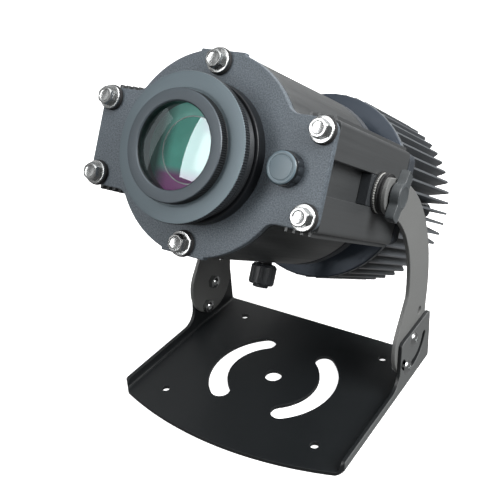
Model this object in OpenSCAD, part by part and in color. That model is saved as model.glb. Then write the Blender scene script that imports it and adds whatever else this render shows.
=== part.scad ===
// Gobo projector: a sealed lamp head with a focusing lens and a finned heat sink, in a yoke on a base plate.
// Millimetres, +Z up, the lens faces -Y. The origin is the middle of the centre hole, on the plate's underside.
// The head is drawn in its own frame: x across, y up and z forward, with z = 0 on the front plate's face.

/* [Base plate] */
// Thickness of the bent steel sheet of the base and the arms
sheet_t = 3; // [2:0.1:4]
// Outside radius of the bends between the plate and its flanges
bend_r = 5; // [4.5:0.5:8]
// Distance from the centre hole to the straight rear edge
base_rear = 78.5; // [78:0.5:110]
// Distance from the centre hole to the middle of the bowed front edge
base_front = 82.5; // [75:0.5:100]
// Radius of the bowed front edge
front_edge_r = 265; // [220:5:400]
// Height of the side flanges over the floor
flange_h = 10; // [8:0.5:12]
// Radius of the centre hole, for the bolt of a hook clamp
centre_hole_r = 6.5; // [5:0.1:8]
// Radius of the four corner holes
corner_hole_r = 3; // [2:0.1:4]
// Spacing of the corner holes across the plate
corner_pitch_x = 128; // [120:1:140]
// Spacing of the corner holes from front to rear
corner_pitch_y = 109.5; // [106:0.5:112]
// Distance from the centre hole back to the middle of the corner holes
corner_mid_y = 3.25; // [0:0.25:5]
// Radius of the centre line of the two curved slots
slot_r = 42.45; // [36:0.1:48]
// Width of the curved slots
slot_w = 14.3; // [8:0.1:16]
// Angle from the middle of a curved slot to the centre of its round end
slot_half_angle = 52; // [30:1:60]

/* [Ears and arms] */
// Distance from the centre hole back to the arm pivots
pivot_y = 47.5; // [44:0.5:50]
// Height of the arm pivots over the floor
pivot_z = 37.5; // [35:0.5:45]
// Ear in front of the pivot, at its top
ear_front = 21; // [18:0.5:24]
// Ear above the pivot
ear_rise = 7.5; // [7:0.5:12]
// Distance from the pivot to the lock bolt
lock_r = 21; // [20:0.1:22]
// Direction of the lock bolt from the pivot, from the rear upwards
lock_angle = -122; // [-135:1:-70]
// Width of the arc slot that the lock bolt slides in
ear_slot_w = 6.6; // [6.4:0.1:8]
// Rear end of the arc slot
ear_slot_from = -22; // [-30:1:-18]
// Front end of the arc slot
ear_slot_to = -151; // [-154:1:-148]
// Distance from the centre hole back to the tilt axis
axis_y = 10.2; // [0:0.2:20]
// Height of the tilt axis over the floor
axis_z = 168; // [160:1:200]
// Radius of the arm's round top end
arm_end_r = 12.6; // [10:0.2:14]
// Radius of the arm's round foot
arm_foot_r = 27; // [24:0.5:28]
// Tilt axis to the centre of the arm's front edge, forwards
front_arc_y = 42.4; // [38:0.2:46]
// Tilt axis to the centre of the arm's front edge, down
front_arc_z = 77.6; // [74:0.2:82]
// Tilt axis to the centre of the arm's rear edge, forwards
rear_arc_y = 41.3; // [38:0.2:46]
// Tilt axis to the centre of the arm's rear edge, down
rear_arc_z = 90.8; // [86:0.2:96]
// How far the arm's rear edge lies inside its round top end
rear_trim = 2; // [0:0.1:3]
// Angle below level where both edges turn straight towards the foot
arm_turn = 12; // [8:1:20]
// Radius of the shank of the pivot and lock bolts
yoke_bolt_r = 3; // [2:0.1:3.1]

/* [Head] */
// Angle of the head above level
tilt = 29.25; // [0:0.25:32]
// Distance from the front plate's face back to the tilt axis
axis_back = 80; // [70:1:90]
// Width over the wings of the body
body_w = 162; // [156:1:180]
// Height over the wings of the body
wing_h = 63; // [60:0.5:68]
// Outside radius of the barrel
barrel_r = 61; // [60.5:0.1:62]
// Wall of the barrel
barrel_wall = 3.5; // [3:0.1:5]
// Length of the body extrusion
body_l = 112.1; // [104:0.1:130]
// Height of a cooling rib over the wing
rib_h = 2.3; // [1:0.1:3]
// Width of a cooling rib
rib_w = 2.3; // [1.5:0.1:3]
// Spacing of the cooling ribs
rib_pitch = 5.03; // [4.5:0.01:5.2]
// Number of cooling ribs on each face of a wing
rib_count = 4; // [1:1:4]
// Height of the slot along the side of a wing
side_slot_h = 20; // [18:0.5:22]
// Depth of the slot along the side of a wing
side_slot_d = 7; // [6.5:0.1:8]
// Thickness of the front plate
face_t = 5; // [4:0.1:8]
// How far the front plate stands out past the body's wings
face_lip = 1; // [0:0.1:2]
// Thickness of the front gasket
front_gasket_t = 1.5; // [1:0.1:2]
// Thickness of the rear gasket
rear_gasket_t = 2.4; // [1.5:0.1:3]
// Thickness of the rear plate
rear_plate_t = 10; // [8:0.5:14]
// How far the gaskets lie inside the plates' edges
gasket_inset = 0.7; // [0.3:0.1:1.5]

/* [Plate bolts] */
// Distance of the corner bolts from the wing's side and top edges
bolt_edge = 7; // [6.5:0.1:7.5]
// Distance of the top and bottom bolts inside the barrel's surface
bolt_inset = 7; // [6.5:0.1:8]
// Radius of the bolt shanks
bolt_r = 2.95; // [2:0.05:3]
// Width across the flats of the bolt heads
bolt_af = 10; // [8:0.5:11]
// Height of the bolt heads
bolt_head_h = 4.9; // [3:0.1:6]
// Length of the shank under the washer
bolt_l = 34; // [20:1:50]
// Radius of the steel washers
washer_r = 7.5; // [6.5:0.1:8]
// Thickness of the steel washers
washer_t = 1.6; // [1:0.1:2]
// Radius of the rubber seals
seal_r = 8; // [7:0.1:8.5]
// Thickness of the rubber seals
seal_t = 2.5; // [1.5:0.1:3]

/* [Lens] */
// Outside radius of the fixed collar
collar_r = 42.3; // [41.5:0.1:44]
// Height of the fixed collar
collar_h = 8; // [6:0.5:9]
// Outside radius of the focus ring's threaded skirt
skirt_r = 40; // [39:0.1:40.2]
// Wall of the focus ring's skirt
skirt_wall = 3.9; // [3:0.1:4.5]
// Radius of the focus ring over its knurl
ring_r = 43.25; // [42:0.25:46]
// Gap between the collar and the focus ring
ring_gap = 10; // [9:0.5:14]
// Length of the focus ring's knurled head
ring_h = 5.1; // [4:0.1:8]
// Teeth in the knurl of the focus ring
ring_teeth = 120; // [60:4:144]
// Radius of the retainer ring over its knurl
retainer_r = 32.3; // [31.5:0.1:34]
// Height of the retainer ring
retainer_h = 6.4; // [5:0.1:8]
// Radius of the lens opening
aperture_r = 24.8; // [20:0.1:26]
// Radius of the front lens
front_lens_r = 26.9; // [26.5:0.1:27.2]
// Wall of the lens tube's neck
neck_wall = 2.9; // [2:0.1:3.5]
// Length of the lens tube inside the head
tube_l = 30; // [20:1:34]

/* [Rear and heat sink] */
// Radius of the neck behind the rear plate
neck_r = 52; // [46:0.5:58]
// Length of the neck
neck_l = 28; // [16:1:40]
// Radius of the heat sink's front disc
disc_r = 70; // [64:0.5:70.5]
// Thickness of the heat sink's front disc
disc_t = 4.5; // [3:0.1:8]
// Outside radius of the fins
fin_r = 70.6; // [66:0.1:72]
// Length of the fins behind the disc
fin_l = 98.5; // [70:0.5:100]
// Thickness of a fin
fin_t = 1.8; // [1.2:0.1:2.4]
// Number of fins
fin_count = 50; // [24:1:56]
// Radius of the fins' outer rear corners
fin_corner_r = 3; // [1:0.5:6]
// Radius of the heat sink's core
core_r = 40; // [38.5:0.5:44]
// Bore of the heat sink's core
core_bore_r = 30; // [26:0.5:32]
// How far the core ends short of the fins
core_back = 7; // [6.5:0.5:10]
// Radius of the rear cap
cap_r = 34; // [33:0.5:36]
// Length of the rear cap
cap_l = 21; // [20.5:0.5:26]

/* [Clamps and knobs] */
// Thickness of the rubber friction washers
rubber_t = 1; // [0.5:0.1:2]
// Radius of the rubber friction washers
rubber_r = 13.5; // [12:0.1:15]
// Thickness of the serrated rings
serrated_t = 1.3; // [1:0.1:3]
// Radius of the serrated rings and the spacers
serrated_r = 12.8; // [11:0.1:13.5]
// Length of the spacers between the serrated rings and the arms
spacer_l = 3.7; // [2:0.1:10]
// Radius of the clamp studs
stud_r = 4; // [3:0.1:4.2]
// Radius of the washers under the wing knobs
knob_washer_r = 7.5; // [6:0.1:8]
// Thickness of the washers under the wing knobs
knob_washer_t = 0.5; // [0.5:0.1:2]
// Radius of the wing knobs over their wings
knob_r = 17; // [14:0.5:20]
// Radius of the wing knobs' hub
knob_hub_r = 8.4; // [7.5:0.1:9.5]
// Width of a knob's wing
knob_wing_w = 9; // [7:0.1:10]
// Thickness of the wing knobs
knob_l = 6.8; // [6:0.1:12]
// Distance from the hand screw under the barrel back to the body's rear end
hand_inset = 10.1; // [6:0.1:14]
// Radius of the hand screw's knob
hand_knob_r = 9; // [7:0.5:12]
// Length of the hand screw's fluted knob
hand_knob_l = 14.5; // [10:0.5:18]

/* [Optics inside] */
// Gap between the optic carrier and the barrel's bolt bosses
carrier_gap = 1; // [0.8:0.1:1.5]
// Wall of the optic carrier
carrier_wall = 3; // [2.5:0.1:3.5]
// Length of the optic carrier in front of the rear plate
carrier_l = 60; // [56:0.5:66]
// Radius of the gobo disc
gobo_r = 33; // [28:0.5:36]
// Radius of the picture on the gobo disc
picture_r = 24; // [18:0.5:26]
// Thickness of the gobo disc
gobo_t = 1.1; // [0.8:0.1:1.5]

/* [Hidden] */
$fn = 96;
// Tiny overlap that lets a cutter pass through a face
cut = 1;
// Radial play of parts that turn or slide in each other
play = 0.05;
// Play along the axis of parts that turn against each other
end_play = 0.1;
// Radial play of a bolt in a drilled hole
hole_play = 0.35;

// Places across the head and the yoke
wing_x = body_w / 2;
serrated_x = wing_x + rubber_t;
spacer_x = serrated_x + serrated_t;
arm_x = spacer_x + spacer_l;
ear_x = arm_x + sheet_t;
flange_x = ear_x + sheet_t;
knob_washer_x = ear_x;
knob_x = knob_washer_x + knob_washer_t;

// Places along the head, forwards from the front plate's face
body_front = -face_t - front_gasket_t;
body_back = body_front - body_l;
rear_plate_front = body_back - rear_gasket_t;
rear_plate_back = rear_plate_front - rear_plate_t;
disc_front = rear_plate_back - neck_l;
disc_back = disc_front - disc_t;
fin_back = disc_back - fin_l;
core_end = fin_back + core_back;
cap_back = core_end - cap_l;
ring_back = collar_h + ring_gap;
ring_front = ring_back + ring_h;
retainer_back = ring_front + end_play;
retainer_front = retainer_back + retainer_h;
carrier_front = rear_plate_front + carrier_l;

// Bolts of the plates
corner_u = wing_x + face_lip - bolt_edge;
corner_v = wing_h / 2 - 0.5 - bolt_edge;
bolt_mid_v = barrel_r - bolt_inset;
corner_places = [[corner_u, corner_v], [-corner_u, corner_v], [-corner_u, -corner_v], [corner_u, -corner_v]];
bolt_places = concat(corner_places, [[0, bolt_mid_v], [0, -bolt_mid_v]]);
washer_face = seal_t + washer_t;

// Inside of the barrel and its wings
bore_r = barrel_r - barrel_wall;
chamber_u = wing_x - side_slot_d - 3.5;
chamber_h = 24;
wing_hollow_u = wing_x - 15;
wing_hollow_h = wing_h - 2 * barrel_wall;
boss_r = 6;
hand_back = body_l - hand_inset;
carrier_r = bolt_mid_v - boss_r - carrier_gap;
// How far the blends of the wings reach into the barrel
blend_cross = 0.02;

// Lens pieces, from the outside in
collar_bore_r = skirt_r + play;
face_bore_r = skirt_r + 1;
skirt_bore_r = skirt_r - skirt_wall;
tube_r = skirt_bore_r - play;
tube_bore_r = tube_r - 2.5;
neck_bore_r = front_lens_r + play;
tube_neck_r = neck_bore_r + neck_wall;
skirt_l = 8;
lens_seat = 2.6;

// Vent plug beside the lens
vent_u = 58.3;
vent_cap_r = 9.5;
vent_body_r = 10;
vent_stem_r = 6;
vent_body_h = 6.4;
vent_cap_h = 2.6;

// Yoke hardware
yoke_hole_r = yoke_bolt_r + play;
yoke_head_r = 5.6;
yoke_head_h = 2.8;
yoke_nut_af = 10;
yoke_nut_h = 4;
yoke_dome_r = 4.4;
axis_p = [axis_y, axis_z];
pivot_p = [pivot_y, pivot_z];
lock_p = pivot_p + lock_r * [cos(lock_angle), sin(lock_angle)];
spare_p = pivot_p + (lock_r + 1) * [cos(41.5), sin(41.5)];
stud_hole_r = stud_r + play;

// Turn of the wing knobs about the tilt axis
knob_angle = 41;

// Clamp block in the side slot, and its nut
block_l = 34;
block_play = 0.2;
nut_af = 13;
nut_h = 5;

// Hand screw under the barrel
hand_bush_r = 5;
hand_bush_out = 2;
hand_screw_r = 2.5;
hand_knob_top = -barrel_r - hand_bush_out - end_play;
hand_hub_r = 5.5;
hand_hub_l = 2.1;

// Cable gland in the side of the rear cap
gland_af = 12;
gland_z = fin_back - gland_af / 2 - 0.8;
gland_hex_l = 4.5;
gland_dome_l = 13.5;
gland_dome_r = 5.9;
gland_bore_r = 3.4;
cap_wall = 2.5;

// Lamp pedestal through the rear plate, and the hole for its wires
pedestal_r = 34.9;
wire_r = 4;
wire_v = 24;
rear_thread_l = 14;

// Optics inside
carrier_bore_r = carrier_r - carrier_wall;
led_board_r = carrier_bore_r - 14;
led_w = 28;
led_dome_r = 11;
lens_lip = 2;
condenser_r = carrier_bore_r - 0.1;
condenser_edge = 3;
condenser_dome_r = 75;
condenser_back = 32;
condenser_mid = rear_plate_front + condenser_back;
lens_rim = 1.6;
holder_t = 4;
picture_teeth = 12;

// Points of an arc around c, from angle a0 to a1, in n steps
function arc(c, r, a0, a1, n) = [for (i = [0:n]) let (a = a0 + (a1 - a0) * i / n) c + r * [cos(a), sin(a)]];

// Angle from a0 to a1, taken the short way round
function turn(a0, a1) = let (d = (a1 - a0) % 360) d > 180 ? d - 360 : d < -180 ? d + 360 : d;

// Points that round the corner p between its neighbours with radius r
function corner(before, p, after, r, n) =
    let (
        a = (before - p) / norm(before - p),
        b = (after - p) / norm(after - p),
        half = acos(a * b) / 2,
        c = p + (a + b) / norm(a + b) * r / sin(half),
        from = p + a * r / tan(half) - c,
        to = p + b * r / tan(half) - c,
        a0 = atan2(from[1], from[0])
    )
    arc(c, r, a0, a0 + turn(a0, atan2(to[1], to[0])), n);

// Outline through the points, each corner rounded with its own radius
function rounded(points, radii, n = 8) = [
    for (i = [0:len(points) - 1])
        let (m = len(points), p = points[i], before = points[(i + m - 1) % m], after = points[(i + 1) % m])
            each radii[i] > 0 ? corner(before, p, after, radii[i], n) : [p]
];

// Point where a line from p touches the circle at c; side is 1 or -1
function touch_point(p, c, r, side) =
    let (d = p - c, a = atan2(d[1], d[0]) + side * acos(r / norm(d)))
    c + r * [cos(a), sin(a)];

// Outline of a knurled circle: a row of pointed teeth
function knurl(r, depth, teeth) = [
    for (i = [0:2 * teeth - 1]) let (a = 180 * i / teeth) (r - (i % 2) * depth) * [cos(a), sin(a)]
];

// Outline of a round hub with a wing along the first axis on each side, blended into the hub
function winged(hub_r, half_l, half_w, end_r, blend_r) =
    let (
        blend_u = sqrt(pow(hub_r + blend_r, 2) - pow(half_w + blend_r, 2)),
        lean = atan2(half_w + blend_r, blend_u),
        quarter = concat(
            arc([half_l - end_r, half_w - end_r], end_r, 0, 90, 8),
            arc([blend_u, half_w + blend_r], blend_r, 270, 180 + lean, 8),
            arc([0, 0], hub_r, lean, 90, 8)
        ),
        last = len(quarter) - 1
    )
    concat(
        quarter,
        [for (i = [last - 1:-1:0]) [-quarter[i][0], quarter[i][1]]],
        [for (i = [0:last]) -quarter[i]],
        [for (i = [last - 1:-1:0]) [quarter[i][0], -quarter[i][1]]]
    );

// Puts pieces drawn in the head's frame in their place
module in_head() {
    translate([0, axis_y, axis_z])
        rotate([90 - tilt, 0, 0])
            translate([0, 0, axis_back])
                children();
}

// Extrudes a side view, drawn rearwards and upwards, from x0 to x1
module from_side(x0, x1) {
    translate([x0, 0, 0])
        rotate([90, 0, 90])
            linear_extrude(x1 - x0)
                children();
}

// Turns pieces drawn along +Z to lie along +X, on the tilt axis
module on_tilt_axis(x) {
    translate([x, axis_y, axis_z])
        rotate([90, 0, 90])
            children();
}

// Turns pieces drawn along +Z to lie along +X, at a point of the side view
module on_side(p, x) {
    translate([x, p[0], p[1]])
        rotate([90, 0, 90])
            children();
}

// The piece and its mirror image on the other side
module both_sides() {
    children();
    mirror([1, 0, 0])
        children();
}

// A disc with a hole, from z0 to z1
module ring(r, bore, z0, z1) {
    translate([0, 0, z0])
        difference() {
            cylinder(r = r, h = z1 - z0);
            translate([0, 0, -cut])
                cylinder(r = bore, h = z1 - z0 + 2 * cut);
        }
}

// A plain disc, from z0 to z1
module disc(r, z0, z1) {
    translate([0, 0, z0])
        cylinder(r = r, h = z1 - z0);
}

// A hexagonal prism of width af across its flats, with its top edge turned off
module hex_head(af, z0, z1) {
    translate([0, 0, z0])
        intersection() {
            rotate(30)
                cylinder(r = af / sqrt(3), h = z1 - z0, $fn = 6);
            cylinder(r1 = af / sqrt(3) + z1 - z0, r2 = af / 2 - 0.1, h = z1 - z0 + 0.4);
        }
}

// A slot along an arc around the origin, with round ends
module arc_slot(r, w, a0, a1) {
    end_c0 = r * [cos(a0), sin(a0)];
    end_c1 = r * [cos(a1), sin(a1)];
    polygon(concat(
        arc([0, 0], r + w / 2, a0, a1, 40), arc(end_c1, w / 2, a1, a1 + 180, 12),
        arc([0, 0], r - w / 2, a1, a0, 40), arc(end_c0, w / 2, a0 + 180, a0 + 360, 12)
    ));
}

// Outline of a domed nut's or button head's half section, for turning
module dome_section(r, h) {
    big_r = (r * r + h * h) / (2 * h);
    intersection() {
        translate([0, h - big_r])
            circle(r = big_r);
        square([r, h]);
    }
}

// The base's outline from above: a bowed front edge with cut and rounded corners
module base_plan() {
    edge_c = [0, front_edge_r - base_front];
    corner_x = flange_x - 5;
    half_angle = asin(corner_x / front_edge_r);
    corner_y = edge_c[1] - front_edge_r * cos(half_angle);
    side_x = flange_x + cut;
    polygon(rounded(
        concat(
            [[side_x, base_rear], [-side_x, base_rear], [-side_x, corner_y + 6]],
            arc(edge_c, front_edge_r, 270 - half_angle, 270 + half_angle, 28),
            [[side_x, corner_y + 6]]
        ),
        concat([0, 0, 0, 3], [for (i = [1:27]) 0], [3, 0])
    ));
}

module base_side() {
    ear_top = pivot_z + ear_rise;
    ear_foot = pivot_y - ear_front - 3;
    flange_front = -base_front + 20;
    polygon(rounded(
        [
            [-base_front - cut, -cut], [base_rear, -cut], [base_rear, ear_top],
            [pivot_y - ear_front, ear_top], [ear_foot, flange_h], [flange_front, flange_h],
            [flange_front - 5, sheet_t], [-base_front - cut, sheet_t]
        ],
        [0, 0, 3, 4, 13, 4, 0, 0]
    ));
}

module base_bend() {
    top = pivot_z + ear_rise + cut;
    inner_r = bend_r - sheet_t;
    polygon(rounded(
        [
            [-flange_x, 0], [flange_x, 0], [flange_x, top], [ear_x, top],
            [ear_x, sheet_t], [-ear_x, sheet_t], [-ear_x, top], [-flange_x, top]
        ],
        [bend_r, bend_r, 0, 0, inner_r, inner_r, 0, 0]
    ));
}

module base_plate() {
    color("#1d1e20")
        difference() {
            intersection() {
                translate([0, base_rear + cut, 0])
                    rotate([90, 0, 0])
                        linear_extrude(base_rear + base_front + 3 * cut)
                            base_bend();
                translate([0, 0, -cut])
                    linear_extrude(pivot_z + ear_rise + 3 * cut)
                        base_plan();
                from_side(-flange_x - cut, flange_x + cut)
                    base_side();
            }
            translate([0, 0, -cut])
                cylinder(r = centre_hole_r, h = sheet_t + 2 * cut);
            for (i = [-1, 1], j = [-1, 1])
                translate([i * corner_pitch_x / 2, corner_mid_y + j * corner_pitch_y / 2, -cut])
                    cylinder(r = corner_hole_r, h = sheet_t + 2 * cut);
            for (middle = [0, 180])
                translate([0, 0, -cut])
                    linear_extrude(sheet_t + 2 * cut)
                        arc_slot(slot_r, slot_w, middle - slot_half_angle, middle + slot_half_angle);
            from_side(-flange_x - cut, flange_x + cut)
                translate(pivot_p) {
                    circle(r = yoke_hole_r);
                    arc_slot(lock_r, ear_slot_w, ear_slot_to, ear_slot_from);
                }
        }
}

// A button-headed bolt at p through the ear and the arm, on the right side
module yoke_bolt(p) {
    on_side(p, 0) {
        disc(yoke_bolt_r, arm_x - yoke_nut_h, flange_x);
        translate([0, 0, flange_x])
            difference() {
                rotate_extrude()
                    dome_section(yoke_head_r, yoke_head_h);
                translate([0, 0, yoke_head_h - 1.4])
                    cylinder(r = 2.3, h = 2, $fn = 6);
            }
    }
}

// The domed nut at p on the arm's inner face, on the right side
module yoke_nut(p) {
    on_side(p, arm_x)
        mirror([0, 0, 1])
            difference() {
                union() {
                    cylinder(r = yoke_nut_af / sqrt(3), h = yoke_nut_h, $fn = 6);
                    translate([0, 0, yoke_nut_h])
                        rotate_extrude()
                            dome_section(yoke_dome_r, 2);
                }
                translate([0, 0, -cut])
                    cylinder(r = yoke_hole_r, h = yoke_nut_h + cut);
            }
}

module pivot_bolts() {
    color("#c9cccf")
        both_sides()
            yoke_bolt(pivot_p);
}

module pivot_nuts() {
    color("#c9cccf")
        both_sides()
            yoke_nut(pivot_p);
}

module lock_bolts() {
    color("#c9cccf")
        both_sides()
            yoke_bolt(lock_p);
}

module lock_nuts() {
    color("#c9cccf")
        both_sides()
            yoke_nut(lock_p);
}

// The arm's side view: a bow from the tilt axis to a straight foot around the pivot
module arm_side() {
    front_c = axis_p - [front_arc_y, front_arc_z];
    rear_c = axis_p - [rear_arc_y, rear_arc_z];
    front_r = norm(axis_p - front_c) - arm_end_r;
    rear_r = norm(axis_p - rear_c) + arm_end_r - rear_trim;
    front_end = front_c + front_r * [cos(arm_turn), -sin(arm_turn)];
    rear_end = rear_c + rear_r * [cos(arm_turn), -sin(arm_turn)];
    front_foot = touch_point(front_end, pivot_p, arm_foot_r, 1) - pivot_p;
    rear_foot = touch_point(rear_end, pivot_p, arm_foot_r, -1) - pivot_p;
    front_top = atan2(front_arc_z, front_arc_y);
    rear_top = atan2(rear_arc_z, rear_arc_y);
    // Where the rear edge leaves the round top end, seen from the tilt axis and from the edge's own centre
    rear_d = norm(axis_p - rear_c);
    leave = acos((rear_r * rear_r - rear_d * rear_d - arm_end_r * arm_end_r) / (2 * rear_d * arm_end_r));
    lead = asin(arm_end_r * sin(leave) / rear_r);
    difference() {
        polygon(concat(
            arc(rear_c, rear_r, rear_top + lead, -arm_turn, 40),
            arc(
                pivot_p, arm_foot_r, atan2(rear_foot[1], rear_foot[0]),
                atan2(front_foot[1], front_foot[0]) - 360, 36
            ),
            arc(front_c, front_r, -arm_turn, front_top, 40),
            arc(axis_p, arm_end_r, front_top + 176, rear_top + leave + 4, 20)
        ));
        translate(axis_p)
            circle(r = stud_hole_r);
        for (p = [pivot_p, lock_p, spare_p])
            translate(p)
                circle(r = yoke_hole_r);
    }
}

module left_arm() {
    color("#26272a")
        from_side(-ear_x, -arm_x)
            arm_side();
}

module right_arm() {
    color("#26272a")
        from_side(arm_x, ear_x)
            arm_side();
}

// Outline of the head across its axis: a barrel with two wings and small blends between them
module head_outline(r, half_w, half_h, corner_r, blend_r) {
    circle(r = r, $fn = 180);
    polygon(winged(r - blend_cross, half_w, half_h, corner_r, blend_r));
}

// The hollow inside the barrel and its wings, with bosses for the middle bolts
module chamber_outline() {
    difference() {
        union() {
            circle(r = bore_r, $fn = 180);
            square([2 * chamber_u, chamber_h], center = true);
            square([2 * wing_hollow_u, wing_hollow_h], center = true);
        }
        for (i = [-1, 1])
            translate([0, i * bolt_mid_v])
                circle(r = boss_r);
    }
}

module body_extrusion() {
    rib_from = wing_x - 4.7 - rib_pitch * (rib_count - 1);
    color("#3a3d42")
        in_head()
            difference() {
                translate([0, 0, body_back])
                    linear_extrude(body_l)
                        difference() {
                            union() {
                                head_outline(barrel_r, wing_x, wing_h / 2, 3, 8);
                                for (i = [-1, 1], j = [-1, 1], n = [0:rib_count - 1])
                                    translate([i * (rib_from + n * rib_pitch), j * wing_h / 2])
                                        square([rib_w, 2 * rib_h], center = true);
                            }
                            chamber_outline();
                            for (i = [-1, 1])
                                translate([i * wing_x, 0])
                                    square([2 * side_slot_d, side_slot_h], center = true);
                            for (p = bolt_places)
                                translate(p)
                                    circle(r = bolt_r + play);
                        }
                translate([0, -barrel_r - cut, -hand_back])
                    rotate([-90, 0, 0])
                        cylinder(r = hand_bush_r, h = barrel_r - bolt_mid_v + boss_r + 2 * cut);
            }
}

module gasket(z0, z1, places) {
    translate([0, 0, z0])
        linear_extrude(z1 - z0)
            difference() {
                head_outline(
                    barrel_r - gasket_inset, wing_x - gasket_inset, wing_h / 2 - gasket_inset, 5, 8 + gasket_inset
                );
                chamber_outline();
                for (p = places)
                    translate(p)
                        circle(r = bolt_r + hole_play);
            }
}

module front_gasket() {
    color("#141516")
        in_head()
            gasket(-face_t - front_gasket_t, -face_t, bolt_places);
}

module rear_gasket() {
    color("#141516")
        in_head()
            gasket(rear_plate_front, rear_plate_front + rear_gasket_t, corner_places);
}

// The front plate's outline, with flat pads behind the two middle bolts
module face_outline() {
    pad_u = 15.5;
    pad_v = barrel_r - 0.3;
    half_h = corner_v + bolt_edge;
    intersection() {
        union() {
            head_outline(barrel_r + 0.2, wing_x + face_lip, half_h, bolt_edge, 9);
            square([2 * pad_u, 2 * pad_v], center = true);
        }
        square([2 * (wing_x + face_lip), 2 * pad_v], center = true);
    }
}

module front_plate() {
    color("#4c545c")
        in_head()
            translate([0, 0, -face_t])
                linear_extrude(face_t)
                    difference() {
                        face_outline();
                        circle(r = face_bore_r, $fn = 180);
                        for (p = bolt_places)
                            translate(p)
                                circle(r = bolt_r + hole_play);
                        translate([vent_u, 0])
                            circle(r = vent_stem_r + play);
                    }
}

module plate_bolts() {
    color("#d4d6d8")
        in_head()
            for (p = bolt_places)
                translate([p[0], p[1], washer_face]) {
                    disc(bolt_r, -bolt_l, 0);
                    difference() {
                        rotate(p[0] * 0.7)
                            hex_head(bolt_af, 0, bolt_head_h);
                        disc(bolt_af * 0.36, bolt_head_h - 0.5, bolt_head_h + cut);
                    }
                }
}

module plate_washers() {
    color("#dcdee0")
        in_head()
            for (p = bolt_places)
                translate([p[0], p[1], 0])
                    ring(washer_r, bolt_r + hole_play, seal_t, washer_face);
}

module plate_seals() {
    color("#101112")
        in_head()
            for (p = bolt_places)
                translate([p[0], p[1], 0])
                    ring(seal_r, bolt_r + hole_play, 0, seal_t);
}

module vent_body() {
    color("#17181a")
        in_head()
            translate([vent_u, 0, 0])
                difference() {
                    union() {
                        linear_extrude(vent_body_h)
                            polygon(knurl(vent_body_r, 0.8, 24));
                        disc(vent_stem_r, -face_t - 5.5, 0);
                    }
                    disc(2, -face_t - 6, 2);
                }
}

module vent_cap() {
    color("#2b2e32")
        in_head()
            translate([vent_u, 0, vent_body_h])
                rotate_extrude()
                    polygon([
                        [0, 0], [vent_cap_r, 0], [vent_cap_r, vent_cap_h - 0.7],
                        [vent_cap_r - 0.7, vent_cap_h], [0, vent_cap_h]
                    ]);
}

module vent_nut() {
    color("#1d1e20")
        in_head()
            translate([vent_u, 0, 0])
                difference() {
                    translate([0, 0, -face_t - 4])
                        cylinder(r = 9, h = 4, $fn = 6);
                    disc(vent_stem_r + play, -face_t - 5, -face_t + cut);
                }
}

module focus_collar() {
    edge = 0.8;
    color("#50565c")
        in_head()
            rotate_extrude($fn = 180)
                polygon([
                    [collar_bore_r, -face_t], [face_bore_r - play, -face_t], [face_bore_r - play, 0],
                    [collar_r, 0], [collar_r, collar_h - edge], [collar_r - edge, collar_h], [collar_bore_r, collar_h]
                ]);
}

module rear_plate() {
    color("#3f4348")
        in_head()
            translate([0, 0, rear_plate_back])
                linear_extrude(rear_plate_t)
                    difference() {
                        head_outline(barrel_r, wing_x, wing_h / 2, 6, 8);
                        circle(r = pedestal_r + end_play);
                        for (p = corner_places)
                            translate(p)
                                circle(r = bolt_r + hole_play);
                    }
}

module rear_bolts() {
    color("#c9cccf")
        in_head()
            for (p = corner_places)
                translate([p[0], p[1], rear_plate_back])
                    mirror([0, 0, 1]) {
                        disc(bolt_r, -rear_plate_t - rear_gasket_t - rear_thread_l, 0);
                        difference() {
                            disc(5, 0, 4);
                            translate([0, 0, 1.6])
                                cylinder(r = 2.6, h = 4, $fn = 6);
                        }
                    }
}

module rear_neck() {
    color("#33363a")
        in_head()
            difference() {
                union() {
                    disc(neck_r, disc_front, rear_plate_back);
                    disc(pedestal_r, rear_plate_back, rear_plate_front + 2);
                }
                translate([0, wire_v, 0])
                    disc(wire_r, disc_front - cut, rear_plate_front + 2 + cut);
            }
}

module heat_sink() {
    rim = 0.9;
    root = core_r - 2;
    color("#565b61")
        in_head()
            difference() {
                union() {
                    translate([0, 0, disc_back])
                        rotate_extrude($fn = 180)
                            polygon([
                                [0, 0], [disc_r, 0], [disc_r, disc_t - rim], [disc_r - rim, disc_t], [0, disc_t]
                            ]);
                    disc(core_r, core_end, disc_back);
                    for (n = [0:fin_count - 1])
                        rotate([90, 0, 360 * n / fin_count])
                            translate([0, 0, -fin_t / 2])
                                linear_extrude(fin_t)
                                    polygon(rounded(
                                        [
                                            [root, disc_back + 1], [root, fin_back],
                                            [fin_r, fin_back], [fin_r, disc_back + 1]
                                        ],
                                        [0, 1, fin_corner_r, 0], 6
                                    ));
                }
                disc(core_bore_r, core_end - cut, disc_back);
                translate([0, wire_v, 0])
                    disc(wire_r, disc_back - cut, disc_front + cut);
                disc(root + 1.5, fin_back - cut, core_end);
            }
}

module rear_cap() {
    flange_r = core_r - 1;
    color("#2a2c2f")
        in_head()
            difference() {
                union() {
                    translate([0, 0, cap_back])
                        rotate_extrude()
                            polygon(rounded(
                                [[0, 0], [cap_r, 0], [cap_r, cap_l], [0, cap_l]],
                                [0, 3, 0, 0]
                            ));
                    disc(flange_r, core_end - 2.5, core_end);
                }
                disc(cap_r - cap_wall, cap_back + cap_wall, core_end + cut);
                for (a = [45:90:315])
                    rotate(a)
                        translate([cap_r + 2.5, 0, 0])
                            disc(1.6, core_end - 3, core_end + cut);
                translate([0, 0, gland_z])
                    rotate([0, 90, 0])
                        cylinder(r = gland_bore_r + 1.5, h = cap_r + cut);
            }
}

module rear_cap_screws() {
    color("#c9cccf")
        in_head()
            for (a = [45:90:315])
                rotate(a)
                    translate([cap_r + 2.5, 0, core_end - 2.5])
                        mirror([0, 0, 1]) {
                            disc(1.5, -2.5, 0);
                            rotate_extrude()
                                dome_section(2.3, 1.5);
                        }
}

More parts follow.
